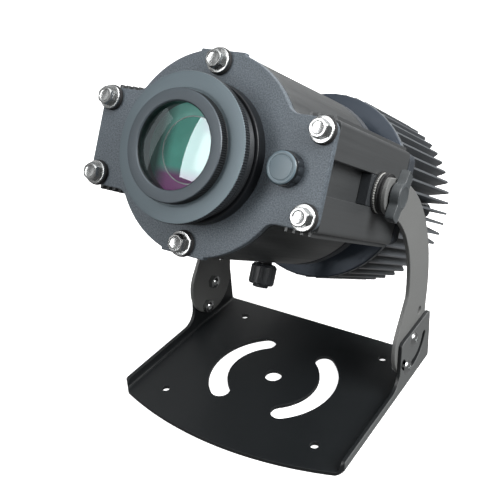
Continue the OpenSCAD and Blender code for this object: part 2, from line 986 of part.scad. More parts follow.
// Turns pieces drawn along +Z to lie across the head, on the gland's axis
module on_gland_axis() {
    in_head()
        translate([0, 0, gland_z])
            rotate([0, 90, 0])
                children();
}

module gland_body() {
    seat = sqrt(cap_r * cap_r - gland_af * gland_af / 4) - 0.6;
    color("#191a1c")
        on_gland_axis()
            difference() {
                union() {
                    difference() {
                        translate([0, 0, seat])
                            cylinder(r = gland_af / sqrt(3), h = cap_r + gland_hex_l - seat, $fn = 6);
                        rotate([0, 90, 0])
                            cylinder(r = cap_r + 0.02, h = 2 * cap_l, center = true);
                    }
                    disc(gland_bore_r + 1.4, cap_r - cap_wall - 2, cap_r + gland_hex_l);
                }
                disc(gland_bore_r, 0, 100);
            }
}

module gland_nut() {
    z0 = cap_r + gland_hex_l;
    color("#232427")
        on_gland_axis()
            difference() {
                translate([0, 0, z0])
                    rotate_extrude()
                        polygon(rounded(
                            [[0, 0], [gland_dome_r, 0], [gland_dome_r, gland_dome_l], [0, gland_dome_l]],
                            [0, 0, 3, 0]
                        ));
                disc(gland_bore_r + 1, z0 - cut, z0 + gland_dome_l - 2);
                disc(gland_bore_r, z0, z0 + gland_dome_l + cut);
            }
}

module gland_seal() {
    z0 = cap_r + gland_hex_l;
    color("#0f1011")
        on_gland_axis()
            ring(gland_bore_r + 0.9, 2, z0, z0 + gland_dome_l - 2.1);
}

module driver_board() {
    floor_z = cap_back + cap_wall;
    board_z = floor_z + 4;
    color("#2f6a43")
        in_head() {
            disc(cap_r - cap_wall - 6.5, board_z, board_z + 1.6);
            for (a = [0, 120, 240])
                rotate(a + 30)
                    translate([cap_r - cap_wall - 9, 0, 0])
                        disc(1.8, floor_z, board_z);
            translate([-8, -8, board_z + 1.6])
                cube([10, 8, 5]);
            translate([8, 6, 0])
                disc(4, board_z + 1.6, board_z + 8);
            translate([-6, 9, 0])
                disc(3, board_z + 1.6, board_z + 6);
        }
}

module led_board() {
    z0 = rear_plate_front + 2;
    color("#d8d2b8")
        in_head()
            difference() {
                disc(led_board_r, z0, z0 + 1.6);
                translate([0, wire_v, 0])
                    disc(wire_r, z0 - cut, z0 + 3);
            }
}

module led_emitter() {
    z0 = rear_plate_front + 3.6;
    color("#e8d040")
        in_head() {
            translate([-led_w / 2, -led_w / 2, z0])
                cube([led_w, led_w, 1]);
            disc(led_dome_r, z0 + 1, z0 + 1.8);
        }
}

module optic_carrier() {
    middle = condenser_mid - rear_plate_front;
    color("#202225")
        in_head()
            translate([0, 0, rear_plate_front])
                rotate_extrude($fn = 120)
                    polygon([
                        [carrier_bore_r, 0], [carrier_r, 0],
                        [carrier_r, carrier_l], [carrier_bore_r, carrier_l],
                        [carrier_bore_r, middle + lens_lip / 2], [carrier_bore_r - 2.5, middle + lens_lip / 2],
                        [carrier_bore_r - 2.5, middle - lens_lip / 2], [carrier_bore_r, middle - lens_lip / 2]
                    ]);
}

// A flat-backed lens with a flat rim around its dome, which faces +Z
module dome_lens(r, edge, dome_r) {
    dome_edge_r = r - lens_rim;
    sag = dome_r - sqrt(dome_r * dome_r - dome_edge_r * dome_edge_r);
    cylinder(r = r, h = edge);
    intersection() {
        cylinder(r = dome_edge_r, h = edge + sag + cut);
        translate([0, 0, edge + sag - dome_r])
            sphere(r = dome_r);
    }
}

// Faces a piece forwards or, turned round, to the rear
module facing(side) {
    rotate([side > 0 ? 0 : 180, 0, 0])
        children();
}

module condenser_lenses() {
    color("#cfe4ea", 0.6)
        in_head()
            for (side = [-1, 1])
                translate([0, 0, condenser_mid + side * lens_lip / 2])
                    facing(side)
                        dome_lens(condenser_r, condenser_edge, condenser_dome_r);
}

module condenser_ring() {
    color("#8d9195")
        in_head()
            for (side = [-1, 1])
                translate([0, 0, condenser_mid + side * (lens_lip / 2 + condenser_edge)])
                    facing(side)
                        ring(carrier_bore_r - play, carrier_bore_r - 1.2, 0, 3);
}

module gobo_holder() {
    color("#2a2c30")
        in_head()
            translate([0, 0, carrier_front])
                rotate_extrude($fn = 120)
                    polygon([
                        [picture_r + 1, 0], [carrier_r, 0], [carrier_r, holder_t], [gobo_r + play, holder_t],
                        [gobo_r + play, 1.2], [picture_r + 1, 1.2]
                    ]);
}

module gobo_disc() {
    z0 = carrier_front + 1.2;
    color("#b9bdc0")
        in_head()
            translate([0, 0, z0])
                linear_extrude(gobo_t)
                    difference() {
                        circle(r = gobo_r);
                        for (n = [0:picture_teeth - 1])
                            rotate(360 * n / picture_teeth)
                                translate([picture_r * 0.62, 0])
                                    circle(r = picture_r * 0.1);
                        for (n = [0:7])
                            rotate(360 * n / 8 + 10)
                                translate([picture_r * 0.3, 0])
                                    circle(r = picture_r * 0.08);
                    }
}

module gobo_spring_ring() {
    z0 = carrier_front + 1.2 + gobo_t;
    color("#c4c7ca")
        in_head()
            difference() {
                ring(gobo_r, gobo_r - 2, z0, z0 + 1);
                translate([0, gobo_r - 1, z0 + 0.5])
                    cube([6, 6, 3], center = true);
            }
}

module slot_blocks() {
    depth = side_slot_d;
    color("#151617")
        in_head()
            both_sides()
                difference() {
                    translate([wing_x - depth, -side_slot_h / 2 + block_play, -axis_back - block_l / 2])
                        cube([depth, side_slot_h - 2 * block_play, block_l]);
                    translate([wing_x - depth - cut, 0, -axis_back])
                        rotate([0, 90, 0])
                            cylinder(r = nut_af / sqrt(3) + 0.1, h = nut_h + cut);
                    translate([wing_x - depth, 0, -axis_back])
                        rotate([0, 90, 0])
                            cylinder(r = stud_r + 0.5, h = depth + cut);
                }
}

module slot_nuts() {
    color("#b8bbbe")
        both_sides()
            on_tilt_axis(wing_x - side_slot_d)
                difference() {
                    cylinder(r = nut_af / sqrt(3), h = nut_h, $fn = 6);
                    translate([0, 0, -cut])
                        cylinder(r = stud_r + play, h = nut_h + 2 * cut);
                }
}

module rubber_washers() {
    color("#0e0f10")
        both_sides()
            on_tilt_axis(0)
                ring(rubber_r, stud_hole_r, wing_x, serrated_x);
}

module serrated_rings() {
    color("#c6c9cc")
        both_sides()
            on_tilt_axis(serrated_x)
                linear_extrude(serrated_t)
                    difference() {
                        polygon(knurl(serrated_r, 0.6, 48));
                        circle(r = stud_hole_r);
                    }
}

module clamp_spacers() {
    color("#1a1b1d")
        both_sides()
            on_tilt_axis(0)
                ring(serrated_r, stud_hole_r, spacer_x, arm_x);
}

// A wing knob, along +Z from its foot, with turned edges at the wing tips and a shallow dish
module wing_knob() {
    dish_r = knob_hub_r - 2;
    tip = 0.6;
    rotate(knob_angle)
        intersection() {
            linear_extrude(knob_l)
                polygon(winged(knob_hub_r, knob_r, knob_wing_w / 2, knob_wing_w / 2 - 1.2, 7));
            rotate_extrude()
                polygon([
                    [0, 0], [knob_r - tip, 0], [knob_r + 0.5, tip + 0.5], [knob_r + 0.5, knob_l - tip - 0.5],
                    [knob_r - tip, knob_l], [dish_r, knob_l], [dish_r - 1, knob_l - 0.5], [0, knob_l - 0.5]
                ]);
        }
}

// The wing knob on its side of the yoke, bored for the stud
module clamp_knob() {
    on_tilt_axis(knob_x)
        difference() {
            wing_knob();
            translate([0, 0, -cut])
                cylinder(r = stud_r, h = knob_l - 2 + cut);
        }
}

// The stud from the knob to the nut in the side slot
module clamp_stud() {
    on_tilt_axis(0)
        disc(stud_r, wing_x - side_slot_d + 0.5, knob_x + knob_l - 2);
}

module knob_washer() {
    on_tilt_axis(0)
        ring(knob_washer_r, stud_hole_r, knob_washer_x, knob_x);
}

module right_knob() {
    color("#1b1c1e")
        clamp_knob();
}

module left_knob() {
    color("#1b1c1e")
        mirror([1, 0, 0])
            clamp_knob();
}

module right_stud() {
    color("#b8bbbe")
        clamp_stud();
}

module left_stud() {
    color("#b8bbbe")
        mirror([1, 0, 0])
            clamp_stud();
}

module right_knob_washer() {
    color("#2a2b2d")
        knob_washer();
}

module left_knob_washer() {
    color("#2a2b2d")
        mirror([1, 0, 0])
            knob_washer();
}

// Turns pieces drawn along +Z to lie along the hand screw, with z = 0 on the head's axis
module on_hand_axis() {
    in_head()
        translate([0, 0, -hand_back])
            rotate([90, 0, 0])
                children();
}

module hand_screw_bush() {
    color("#1d1e20")
        on_hand_axis()
            ring(hand_bush_r - play, hand_screw_r + play, bolt_mid_v - boss_r + 0.6, barrel_r + hand_bush_out);
}

module hand_screw_knob() {
    z0 = -hand_knob_top;
    flutes = 20;
    color("#1b1c1e")
        on_hand_axis()
            difference() {
                union() {
                    intersection() {
                        translate([0, 0, z0])
                            linear_extrude(hand_knob_l)
                                polygon(knurl(hand_knob_r, 0.8, flutes));
                        translate([0, 0, z0])
                            rotate_extrude()
                                polygon([
                                    [0, 0], [hand_knob_r - 1.5, 0], [hand_knob_r + 0.5, 2],
                                    [hand_knob_r + 0.5, hand_knob_l - 1.5], [hand_knob_r - 1, hand_knob_l],
                                    [0, hand_knob_l]
                                ]);
                    }
                    disc(hand_hub_r, z0 + hand_knob_l, z0 + hand_knob_l + hand_hub_l);
                }
                disc(hand_screw_r, z0 - cut, z0 + hand_knob_l - 2);
            }
}

module hand_screw() {
    color("#b8bbbe")
        on_hand_axis()
            disc(hand_screw_r, carrier_r + end_play, -hand_knob_top + hand_knob_l - 2);
}

module lens_tube() {
    shoulder = ring_back - end_play;
    lip = 1.6;
    color("#1b1c1e")
        in_head()
            rotate_extrude($fn = 180)
                polygon([
                    [tube_r, -tube_l], [tube_r, shoulder], [tube_neck_r, shoulder],
                    [tube_neck_r, retainer_front - lens_seat], [neck_bore_r, retainer_front - lens_seat],
                    [neck_bore_r, shoulder - 3], [tube_bore_r, shoulder - 3],
                    [tube_bore_r, -tube_l + 10], [tube_bore_r - lip, -tube_l + 10],
                    [tube_bore_r - lip, -tube_l + 8.5], [tube_bore_r, -tube_l + 8.5], [tube_bore_r, -tube_l]
                ]);
}

module retainer_ring() {
    step = retainer_front - lens_seat;
    edge = 0.7;
    color("#3c4146")
        in_head()
            difference() {
                intersection() {
                    translate([0, 0, retainer_back])
                        linear_extrude(retainer_h)
                            polygon(knurl(retainer_r, 0.6, 90));
                    rotate_extrude($fn = 180)
                        polygon([
                            [0, retainer_back], [retainer_r + 1, retainer_back], [retainer_r + 1, retainer_front - edge - 1],
                            [retainer_r - edge, retainer_front], [0, retainer_front]
                        ]);
                }
                disc(tube_neck_r + play, retainer_back - cut, step + play);
                rotate_extrude($fn = 180)
                    polygon([
                        [0, step - cut], [aperture_r, step - cut], [aperture_r, retainer_front - 1],
                        [aperture_r + 1.5, retainer_front + 0.5], [0, retainer_front + 0.5]
                    ]);
            }
}

module front_lens() {
    edge = 5;
    dome = 115;
    color("#b9d6c8", 0.6)
        in_head()
            translate([0, 0, retainer_front - lens_seat - edge - 0.4])
                dome_lens(front_lens_r, edge, dome);
}

module rear_lens() {
    color("#b9cfd6", 0.6)
        in_head()
            translate([0, 0, -tube_l + 8.5])
                facing(-1)
                    dome_lens(tube_bore_r - play, 3.5, 110);
}

module rear_lens_ring() {
    color("#2a2c2f")
        in_head()
            ring(tube_bore_r - play, tube_bore_r - 1.5, -tube_l, -tube_l + 5);
}

module focus_ring() {
    edge = 0.6;
    tooth = 0.6;
    color("#59656a")
        in_head()
            difference() {
                union() {
                    translate([0, 0, ring_back + edge])
                        linear_extrude(ring_h - 2 * edge)
                            polygon(knurl(ring_r, tooth, ring_teeth));
                    for (z = [ring_back, ring_front - edge])
                        translate([0, 0, z])
                            cylinder(r = ring_r - tooth - 0.2, h = edge, $fn = 180);
                    translate([0, 0, -skirt_l])
                        cylinder(r = skirt_r, h = ring_back + skirt_l, $fn = 180);
                }
                disc(skirt_bore_r, -skirt_l - cut, ring_back);
                disc(tube_neck_r + play, ring_back - cut, ring_front + cut);
            }
}

base_plate();
pivot_bolts();
pivot_nuts();
left_arm();
right_arm();
lock_bolts();
lock_nuts();
body_extrusion();
front_gasket();
front_plate();
plate_bolts();
plate_washers();
plate_seals();
vent_body();
vent_cap();
vent_nut();
focus_collar();
rear_gasket();
rear_plate();
rear_bolts();
rear_neck();
heat_sink();
rear_cap();
rear_cap_screws();
gland_body();
gland_nut();
gland_seal();
driver_board();
led_board();
led_emitter();
optic_carrier();
condenser_lenses();
condenser_ring();
gobo_holder();
gobo_disc();
gobo_spring_ring();
slot_blocks();
slot_nuts();
rubber_washers();
serrated_rings();
clamp_spacers();
hand_screw_bush();
lens_tube();
retainer_ring();
front_lens();
rear_lens();
rear_lens_ring();
focus_ring();
left_knob();
left_stud();
left_knob_washer();
right_knob();
right_stud();
right_knob_washer();
hand_screw_knob();
hand_screw();
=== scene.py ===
"""Looks of a gobo projector: turned, knurled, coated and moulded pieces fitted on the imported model's frame.

Sizes are in millimetres in the head's own frame (across, up, forwards from the front plate's face) or in the
model's frame, and every mesh is put in its place in metres. Shapes are grids of points worked out with numpy.
"""

import logging
import math
from abc import ABC, abstractmethod
from collections.abc import Sequence
from dataclasses import dataclass, field, replace
from enum import Enum
from functools import cache

import bmesh
import bpy
import numpy as np
from mathutils import Matrix, Vector


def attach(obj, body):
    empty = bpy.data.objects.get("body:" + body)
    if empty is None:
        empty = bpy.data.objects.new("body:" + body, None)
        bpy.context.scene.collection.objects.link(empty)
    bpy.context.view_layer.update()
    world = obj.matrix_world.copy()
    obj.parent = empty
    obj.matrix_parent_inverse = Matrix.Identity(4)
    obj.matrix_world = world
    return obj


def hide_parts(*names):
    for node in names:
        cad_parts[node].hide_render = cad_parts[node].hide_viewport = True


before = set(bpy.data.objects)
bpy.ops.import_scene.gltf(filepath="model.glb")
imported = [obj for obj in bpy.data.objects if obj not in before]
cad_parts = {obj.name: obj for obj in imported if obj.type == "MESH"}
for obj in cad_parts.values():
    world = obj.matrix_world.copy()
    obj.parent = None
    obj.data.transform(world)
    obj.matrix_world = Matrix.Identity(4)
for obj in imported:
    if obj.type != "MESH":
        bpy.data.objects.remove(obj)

Array = np.ndarray
Triple = tuple[float, float, float]
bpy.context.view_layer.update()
MM = 0.001
TAU = 2 * math.pi
log = logging.getLogger("gobo_projector")


# Places

@dataclass(frozen=True)
class Station:
    """A place to build in: an origin in the model's millimetres and three axes."""

    origin: Triple = (0.0, 0.0, 0.0)
    across: Triple = (1.0, 0.0, 0.0)
    up: Triple = (0.0, 1.0, 0.0)
    along: Triple = (0.0, 0.0, 1.0)

    @property
    def axes(self) -> Array:
        """The three axes as the rows of a matrix."""
        return np.array([self.across, self.up, self.along])

    def put(self, points: Array) -> Array:
        """Gives the model's metres of local millimetres: the origin plus each coordinate times its axis.

        Args:
            points: Local points, with the coordinates last.

        Returns:
            Points of the same shape, in metres.
        """
        return (points @ self.axes + np.array(self.origin)) * MM

    def at(self, u: float = 0.0, v: float = 0.0, w: float = 0.0) -> "Station":
        """The same axes from the local point (u, v, w)."""
        return replace(self, origin=tuple(np.array(self.origin) + np.array([u, v, w]) @ self.axes))

    def spun(self, degrees: float) -> "Station":
        """The same place turned round its third axis."""
        c, s = math.cos(math.radians(degrees)), math.sin(math.radians(degrees))
        across, up, _ = self.axes
        return replace(self, across=tuple(c * across + s * up), up=tuple(c * up - s * across))

    def matrix(self) -> Matrix:
        """The axes as a rotation matrix."""
        return Matrix(self.axes.tolist()).transposed()


TILT = math.radians(29.25)
AXIS_Y, AXIS_Z, AXIS_BACK = 10.2, 168.0, 80.0
FORWARD = (0.0, -math.cos(TILT), math.sin(TILT))
UPWARD = (0.0, math.sin(TILT), math.cos(TILT))
HEAD = Station(
    (0.0, AXIS_Y + AXIS_BACK * FORWARD[1], AXIS_Z + AXIS_BACK * FORWARD[2]), (1.0, 0.0, 0.0), UPWARD, FORWARD
)


class Side(Enum):
    """A side of the yoke, with its direction along X."""

    LEFT = -1
    RIGHT = 1

    def at(self, y: float, z: float) -> Station:
        """A place on the side view whose third axis points outwards."""
        return Station((0.0, y, z), (0.0, 1.0, 0.0), (0.0, 0.0, 1.0), (float(self.value), 0.0, 0.0))

    def node(self, kind: str) -> str:
        """Name of this side's CAD node of a kind."""
        return f"{self.name.lower()}_{kind}"


# Shapes

def unit(v: Array) -> Array:
    """Vectors of length one, each divided by its length."""
    return v / np.maximum(np.linalg.norm(v, axis=-1, keepdims=True), 1e-12)


def rounded(points: Sequence, radii: float | Sequence[float], steps: int = 4) -> Array:
    """Rounds an outline's corners with arcs: each centre lies on the bisector, a radius away from both sides.

    Args:
        points: Corners (r, z) of the outline, in order.
        radii: Radius of every corner, or one for each.
        steps: Points on each arc.

    Returns:
        The outline's points, one row each.
    """
    p = np.asarray(points, float)
    r = np.broadcast_to(np.asarray(radii, float), len(p))[:, None]
    a, b = unit(np.roll(p, 1, 0) - p), unit(np.roll(p, -1, 0) - p)
    half = np.arccos(np.clip((a * b).sum(1), -1, 1))[:, None] / 2
    sin, tan = np.maximum(np.sin(half), 1e-6), np.maximum(np.tan(half), 1e-6)
    centre = p + unit(a + b) * r / sin
    start, end = p + a * r / tan - centre, p + b * r / tan - centre
    sweep = np.maximum(math.pi - 2 * half, 1e-4)
    t = np.linspace(0, 1, steps)[None, :]
    first, last = np.sin((1 - t) * sweep) / np.sin(sweep), np.sin(t * sweep) / np.sin(sweep)
    arcs = start[:, None] * first[..., None] + end[:, None] * last[..., None] + centre[:, None]
    return arcs.reshape(-1, 2)


def tooth(angle: Array, count: int) -> Array:
    """Pointed teeth round a circle: 0 at each crest and 1 half way to the next, in straight lines."""
    return 1 - np.abs(2 * np.mod(angle * count / TAU, 1) - 1)


def flats(angle: Array, half_width: float, sides: int = 6) -> Array:
    """A regular polygon's radius: half the width over the cosine of the angle from a side's middle."""
    step = TAU / sides
    return half_width / np.cos(np.mod(angle + step / 2, step) - step / 2)


@dataclass(frozen=True)
class Shell:
    """A closed skin on a grid: columns go round, rows go along and close in a loop or end in poles."""

    grid: Array
    loop: bool = False

    def faces(self, first: int) -> Array:
        """Four-sided faces between neighbouring rows and columns, numbered from the first point's number."""
        rows, columns = self.grid.shape[:2]
        index = first + np.arange(rows * columns).reshape(rows, columns)
        here, there = (index, np.roll(index, -1, 0)) if self.loop else (index[:-1], index[1:])
        return np.stack([here, np.roll(here, -1, 1), np.roll(there, -1, 1), there], -1).reshape(-1, 4)


def angles(columns: int) -> Array:
    """Evenly spaced angles round a circle."""
    return TAU * np.arange(columns) / columns


def polar(r: Array, z: Array, columns: int, loop: bool = False) -> Shell:
    """A skin at radius r and height z: each point is (r cos a, r sin a, z), for the column's angle a.

    Args:
        r: Radius of each row, or of each point.
        z: Height of each row, or of each point.
        columns: Points round the axis.
        loop: Whether the rows close on themselves.

    Returns:
        The skin.
    """
    a = angles(columns)
    r, z = (np.asarray(v, float).reshape(len(v), -1) * np.ones(columns) for v in (r, z))
    return Shell(np.stack([r * np.cos(a), r * np.sin(a), z], -1), loop)


def turned(profile: Array, columns: int = 96, loop: bool = False) -> Shell:
    """A profile of (r, z) points turned round the axis."""
    return polar(profile[:, 0], profile[:, 1], columns, loop)


def knurled(profile: Array, teeth: int, depth: float, low: float, high: float, least: float) -> Shell:
    """A closed profile turned round the axis, its outer rows between two heights cut into pointed teeth.

    Args:
        profile: Points (r, z) of the closed profile.
        teeth: Teeth round the circle.
        depth: Depth of a tooth.
        low: Height where the teeth begin.
        high: Height where they end.
        least: Radius under which nothing is cut.

    Returns:
        The skin: r less depth times the tooth's wave where the row is cut.
    """
    columns = teeth * 2
    r, z = profile[:, :1], profile[:, 1:]
    cut = ((z >= low) & (z <= high) & (r > least)).astype(float)
    return polar(r - depth * cut * tooth(angles(columns), teeth), z, columns, True)


def ring_profile(r: float, bore: float, z0: float, z1: float, edge: float = 0.2, steps: int = 4) -> Array:
    """Closed profile of a flat ring whose four edges are rounded."""
    return rounded([(r, z0), (r, z1), (bore, z1), (bore, z0)], edge, steps)


def mesh_of(name: str, parts: Sequence[tuple[Shell, Station]], crease: float = 32.0) -> bpy.types.Mesh:
    """Makes one mesh of closed skins, each in its place, with merged doubles and outward faces.

    Args:
        name: The mesh's name.
        parts: Skins and their places.
        crease: Angle in degrees over which an edge stays sharp.

    Returns:
        The mesh, smoothly shaded.
    """
    points, faces, first = [], [], 0
    for shell, station in parts:
        points.append(station.put(shell.grid.reshape(-1, 3)))
        faces.append(shell.faces(first))
        first += len(points[-1])
    mesh = bpy.data.meshes.new(name)
    mesh.from_pydata(np.vstack(points).tolist(), [], np.vstack(faces).tolist())
    tidy_mesh(mesh, flat=False)
    mesh.shade_smooth()
    mesh.set_sharp_from_angle(angle=math.radians(crease))
    return mesh


def tidy_mesh(mesh: bpy.types.Mesh, flat: bool, width: float = 0.0) -> None:
    """Merges a mesh's doubles, joins flat faces and rounds edges if asked, and turns all faces outwards.

    Args:
        mesh: The mesh to change.
        flat: Whether flat neighbours become one face.
        width: Width in millimetres of the rounding along edges over 33 degrees, or 0 for none.
    """
    bm = bmesh.new()
    bm.from_mesh(mesh)
    bmesh.ops.remove_doubles(bm, verts=bm.verts, dist=2e-6)
    bmesh.ops.dissolve_degenerate(bm, dist=1e-6, edges=bm.edges)
    if flat:
        bmesh.ops.dissolve_limit(bm, angle_limit=math.radians(0.4), verts=bm.verts, edges=bm.edges)
    bmesh.ops.recalc_face_normals(bm, faces=bm.faces)
    if width > 0:
        edges = [edge for edge in bm.edges if edge.calc_face_angle(0.0) > math.radians(33)]
        bmesh.ops.bevel(
            bm, geom=edges, offset=width * MM, offset_type="OFFSET", segments=2, profile=0.5, affect="EDGES",
            clamp_overlap=False,
        )
    bm.to_mesh(mesh)
    bm.free()


# Shader bench

class Value:
    """A number or colour that varies over a surface: a socket that Python's operators work on."""

    def __init__(self, bench: "Bench", socket: bpy.types.NodeSocket) -> None:
        """Keeps the bench and the socket."""
        self.bench, self.socket = bench, socket

    def __add__(self, other: "Value | float") -> "Value":
        """Sum."""
        return self.bench.math("ADD", self, other)

    def __sub__(self, other: "Value | float") -> "Value":
        """Difference."""
        return self.bench.math("SUBTRACT", self, other)

    def __mul__(self, other: "Value | float") -> "Value":
        """Product."""
        return self.bench.math("MULTIPLY", self, other)

    __radd__, __rmul__ = __add__, __mul__


class Bench:
    """Builds the nodes of one material."""

    def __init__(self, name: str = "", world: bpy.types.World | None = None) -> None:
        """Starts a new material, or the world that is given, with an empty tree."""
        self.material = world or bpy.data.materials.new(name)
        self.material.use_nodes = True
        self.tree = self.material.node_tree
        self.tree.nodes.clear()

    def node(
        self,
        kind: str,
        settings: dict[str, object] | None = None,
        inputs: dict[str | int, object] | None = None,
        output: str | int = 0,
    ) -> Value:
        """Adds a node.

        Args:
            kind: The node's type, without ShaderNode.
            settings: Properties set first; "stops" are a colour ramp's positions and colours.
            inputs: Values or links of its sockets, by name or number.
            output: The output that is handed on.

        Returns:
            The output's value.
        """
        made = self.tree.nodes.new("ShaderNode" + kind)
        for key, setting in (settings or {}).items():
            if key == "stops":
                stops = made.color_ramp.elements
                while len(stops) < len(setting):
                    stops.new(1.0)
                for stop, (position, colour) in zip(stops, setting):
                    stop.position, stop.color = position, (*colour, 1.0)
            else:
                setattr(made, key, setting)
        for key, value in (inputs or {}).items():
            if isinstance(value, Value):
                self.tree.links.new(value.socket, made.inputs[key])
            else:
                made.inputs[key].default_value = value
        return Value(self, made.outputs[output])

    def math(self, operation: str, *values: "Value | float", clamp: bool = False) -> Value:
        """A Math node on values or numbers."""
        return self.node("Math", {"operation": operation, "use_clamp": clamp}, dict(enumerate(values)))

    def clamp(self, value: Value, low: float = 0.0, high: float = 1.0) -> Value:
        """A value kept between two numbers."""
        return self.node("Clamp", None, {"Value": value, "Min": low, "Max": high})

    def local(self, station: Station) -> Value:
        """Object coordinates as a place's own millimetres."""
        where = self.node("TexCoord", None, None, "Object")
        turn = station.matrix().to_euler("XYZ")
        settings = {"vector_type": "TEXTURE"}
        origin = tuple(v * MM for v in station.origin)
        inputs = {0: where, "Location": origin, "Rotation": turn, "Scale": (MM, MM, MM)}
        return self.node("Mapping", settings, inputs)

    def stretch(self, where: Value, scale: Triple) -> Value:
        """Coordinates times a scale along each axis."""
        return self.node("VectorMath", {"operation": "MULTIPLY"}, {0: where, 1: scale})

    def noise(self, where: Value, size: float, detail: float = 2.0, rough: float = 0.5) -> Value:
        """Soft noise from 0 to 1 whose grains are about size across."""
        inputs = {"Vector": where, "Scale": 1 / size, "Detail": detail, "Roughness": rough}
        return self.node("TexNoise", None, inputs)

    def radial(self, where: Value) -> Value:
        """Coordinates (distance from the third axis, height along it, 0)."""
        parts = [self.node("SeparateXYZ", None, {0: where}, name) for name in ("X", "Y", "Z")]
        radius = self.math("SQRT", parts[0] * parts[0] + parts[1] * parts[1])
        return self.node("CombineXYZ", None, {"X": radius, "Y": parts[2]})

    def ramp(self, value: Value, *stops: tuple[float, float]) -> Value:
        """A value bent by a ramp of (position, level) stops."""
        return self.node("ValToRGB", {"stops": [(at, (level,) * 3) for at, level in stops]}, {0: value})

    def mix(self, factor: "Value | float", first: object, second: object) -> Value:
        """A colour between two, by a factor."""
        first, second = (c if isinstance(c, Value) else (*c, 1.0) for c in (first, second))
        return self.node("Mix", {"data_type": "RGBA"}, {0: factor, 6: first, 7: second}, 2)

    def bump(self, height: Value, depth: float) -> Value:
        """A bent normal from a height, for a depth in millimetres."""
        return self.node("Bump", None, {"Height": height, "Distance": depth * MM, "Strength": 1.0})

    def close(self, shader: Value) -> bpy.types.Material:
        """Ends the tree in its output and hands the material over."""
        output = self.tree.nodes.new("ShaderNodeOutputMaterial")
        self.tree.links.new(shader.socket, output.inputs["Surface"])
        return self.material


def display(colour: Triple, gain: float = 1.0) -> Triple:
    """Linear light of a colour given in display levels from 0 to 255."""
    levels = np.array(colour) / 255
    light = np.where(levels < 0.04045, levels / 12.92, ((levels + 0.055) / 1.055) ** 2.4)
    return tuple(float(v) for v in gain * light)


# Finishes

@dataclass(frozen=True)
class Relief:
    """What a pattern does to a surface: a shade and a height from 0 to 1, and a change of roughness."""

    shade: Value
    rough: Value
    height: Value


@dataclass(frozen=True)
class Finish(ABC):
    """A finish: its colour in display levels, how it shines, and the pattern that its kind adds."""

    name: str
    slot: str
    colour: Triple
    roughness: float
    metallic: float = 0.0
    contrast: float = 0.25
    depth: float = 0.02
    station: Station = HEAD
    specular: float = 0.5
    coat: float = 0.0

    @abstractmethod
    def relief(self, bench: Bench, where: Value) -> Relief:
        """Works out the pattern at a place's millimetres."""

    def tinted(self, bench: Bench, where: Value, colour: Value) -> Value:
        """The colour as it is; a kind of finish may change it by place."""
        return colour

    def make(self) -> bpy.types.Material:
        """Builds the material: the shade moves the colour by the contrast, the height bends the normal."""
        bench = Bench(self.name)
        where = bench.local(self.station)
        relief = self.relief(bench, where)
        low, high = display(self.colour, 1 - self.contrast), display(self.colour, 1 + self.contrast)
        inputs = {
            "Base Color": self.tinted(bench, where, bench.mix(relief.shade, low, high)),
            "Roughness": bench.clamp(relief.rough + self.roughness, 0.03, 1.0),
            "Metallic": self.metallic,
            "Normal": bench.bump(relief.height, self.depth),
            "Specular IOR Level": self.specular,
            "Coat Weight": self.coat,
            "Coat Roughness": 0.15,
        }
        return bench.close(bench.node("BsdfPrincipled", None, inputs))


@dataclass(frozen=True)
class Powder(Finish):
    """Baked powder or blasted anodising: fine bright grain on slow clouds, a little orange peel."""

    grain: float = 0.45
    peel: float = 2.2

    def relief(self, bench: Bench, where: Value) -> Relief:
        """Grain is sharpened fine noise, peel is soft middle noise, clouds are wide noise."""
        grain = bench.noise(where, self.grain, 2.0, 0.6)
        peel = bench.noise(where, self.peel, 1.0)
        clouds = bench.noise(where, 38.0, 3.0, 0.55)
        speck = bench.ramp(grain, (0.36, 0.0), (0.66, 1.0))
        shade = bench.clamp(speck * 0.62 + clouds * 0.5 - 0.08)
        return Relief(shade, (clouds - 0.5) * 0.14 + (grain - 0.5) * 0.1, grain * 0.7 + peel * 0.3)


@dataclass(frozen=True)
class Drawn(Finish):
    """Anodised extrusion: die lines along the third axis, broken by wide clouds."""

    line: float = 0.35

    def relief(self, bench: Bench, where: Value) -> Relief:
        """Lines are noise stretched a hundredfold along the axis, in two widths."""
        fine = bench.noise(bench.stretch(where, (1.0, 1.0, 0.006)), self.line, 2.0, 0.6)
        wide = bench.noise(bench.stretch(where, (1.0, 1.0, 0.012)), self.line * 7, 2.0, 0.5)
        grain = bench.noise(where, 0.3, 1.0)
        clouds = bench.noise(where, 45.0, 2.0)
        shade = bench.clamp(fine * 0.5 + wide * 0.4 + clouds * 0.3 - 0.1)
        return Relief(shade, (wide - 0.5) * 0.2 + (grain - 0.5) * 0.08, fine * 0.6 + wide * 0.3 + grain * 0.1)


@dataclass(frozen=True)
class DrawnSink(Drawn):
    """The heat sink's anodising, with painted shade over the front face of its disc: darker and bluer there,
    standing for the light that falls on that face.
    """

    # face: painted shade and blue cast of the light on the disc's front face, not a colour of the metal.
    face: Triple = (50, 58, 68)
    painted_shade_z: float = -160.0

    def tinted(self, bench: Bench, where: Value, colour: Value) -> Value:
        """Goes to the face's painted shade in front of the height, within half a millimetre."""
        height = bench.node("SeparateXYZ", None, {0: where}, "Z")
        return bench.mix(bench.clamp((height - self.painted_shade_z) * 2), colour, display(self.face))


@dataclass(frozen=True)
class SheetCoat(Powder):
    """The base's powder coat, with painted light: paler over the outer faces of its ears and flanges, as if lit
    from the side.
    """

    # outer: painted light on the outer faces of the ears and flanges, not a thinner coat.
    outer: Triple = (84, 86, 86)
    painted_light_x: float = 92.4

    def tinted(self, bench: Bench, where: Value, colour: Value) -> Value:
        """Goes to the painted light's colour beyond the distance from the middle, on both sides."""
        across = bench.node("SeparateXYZ", None, {0: where}, "X")
        past = bench.clamp((across - self.painted_light_x) * 5) + bench.clamp((across + self.painted_light_x) * -5)
        return bench.mix(past, colour, display(self.outer))


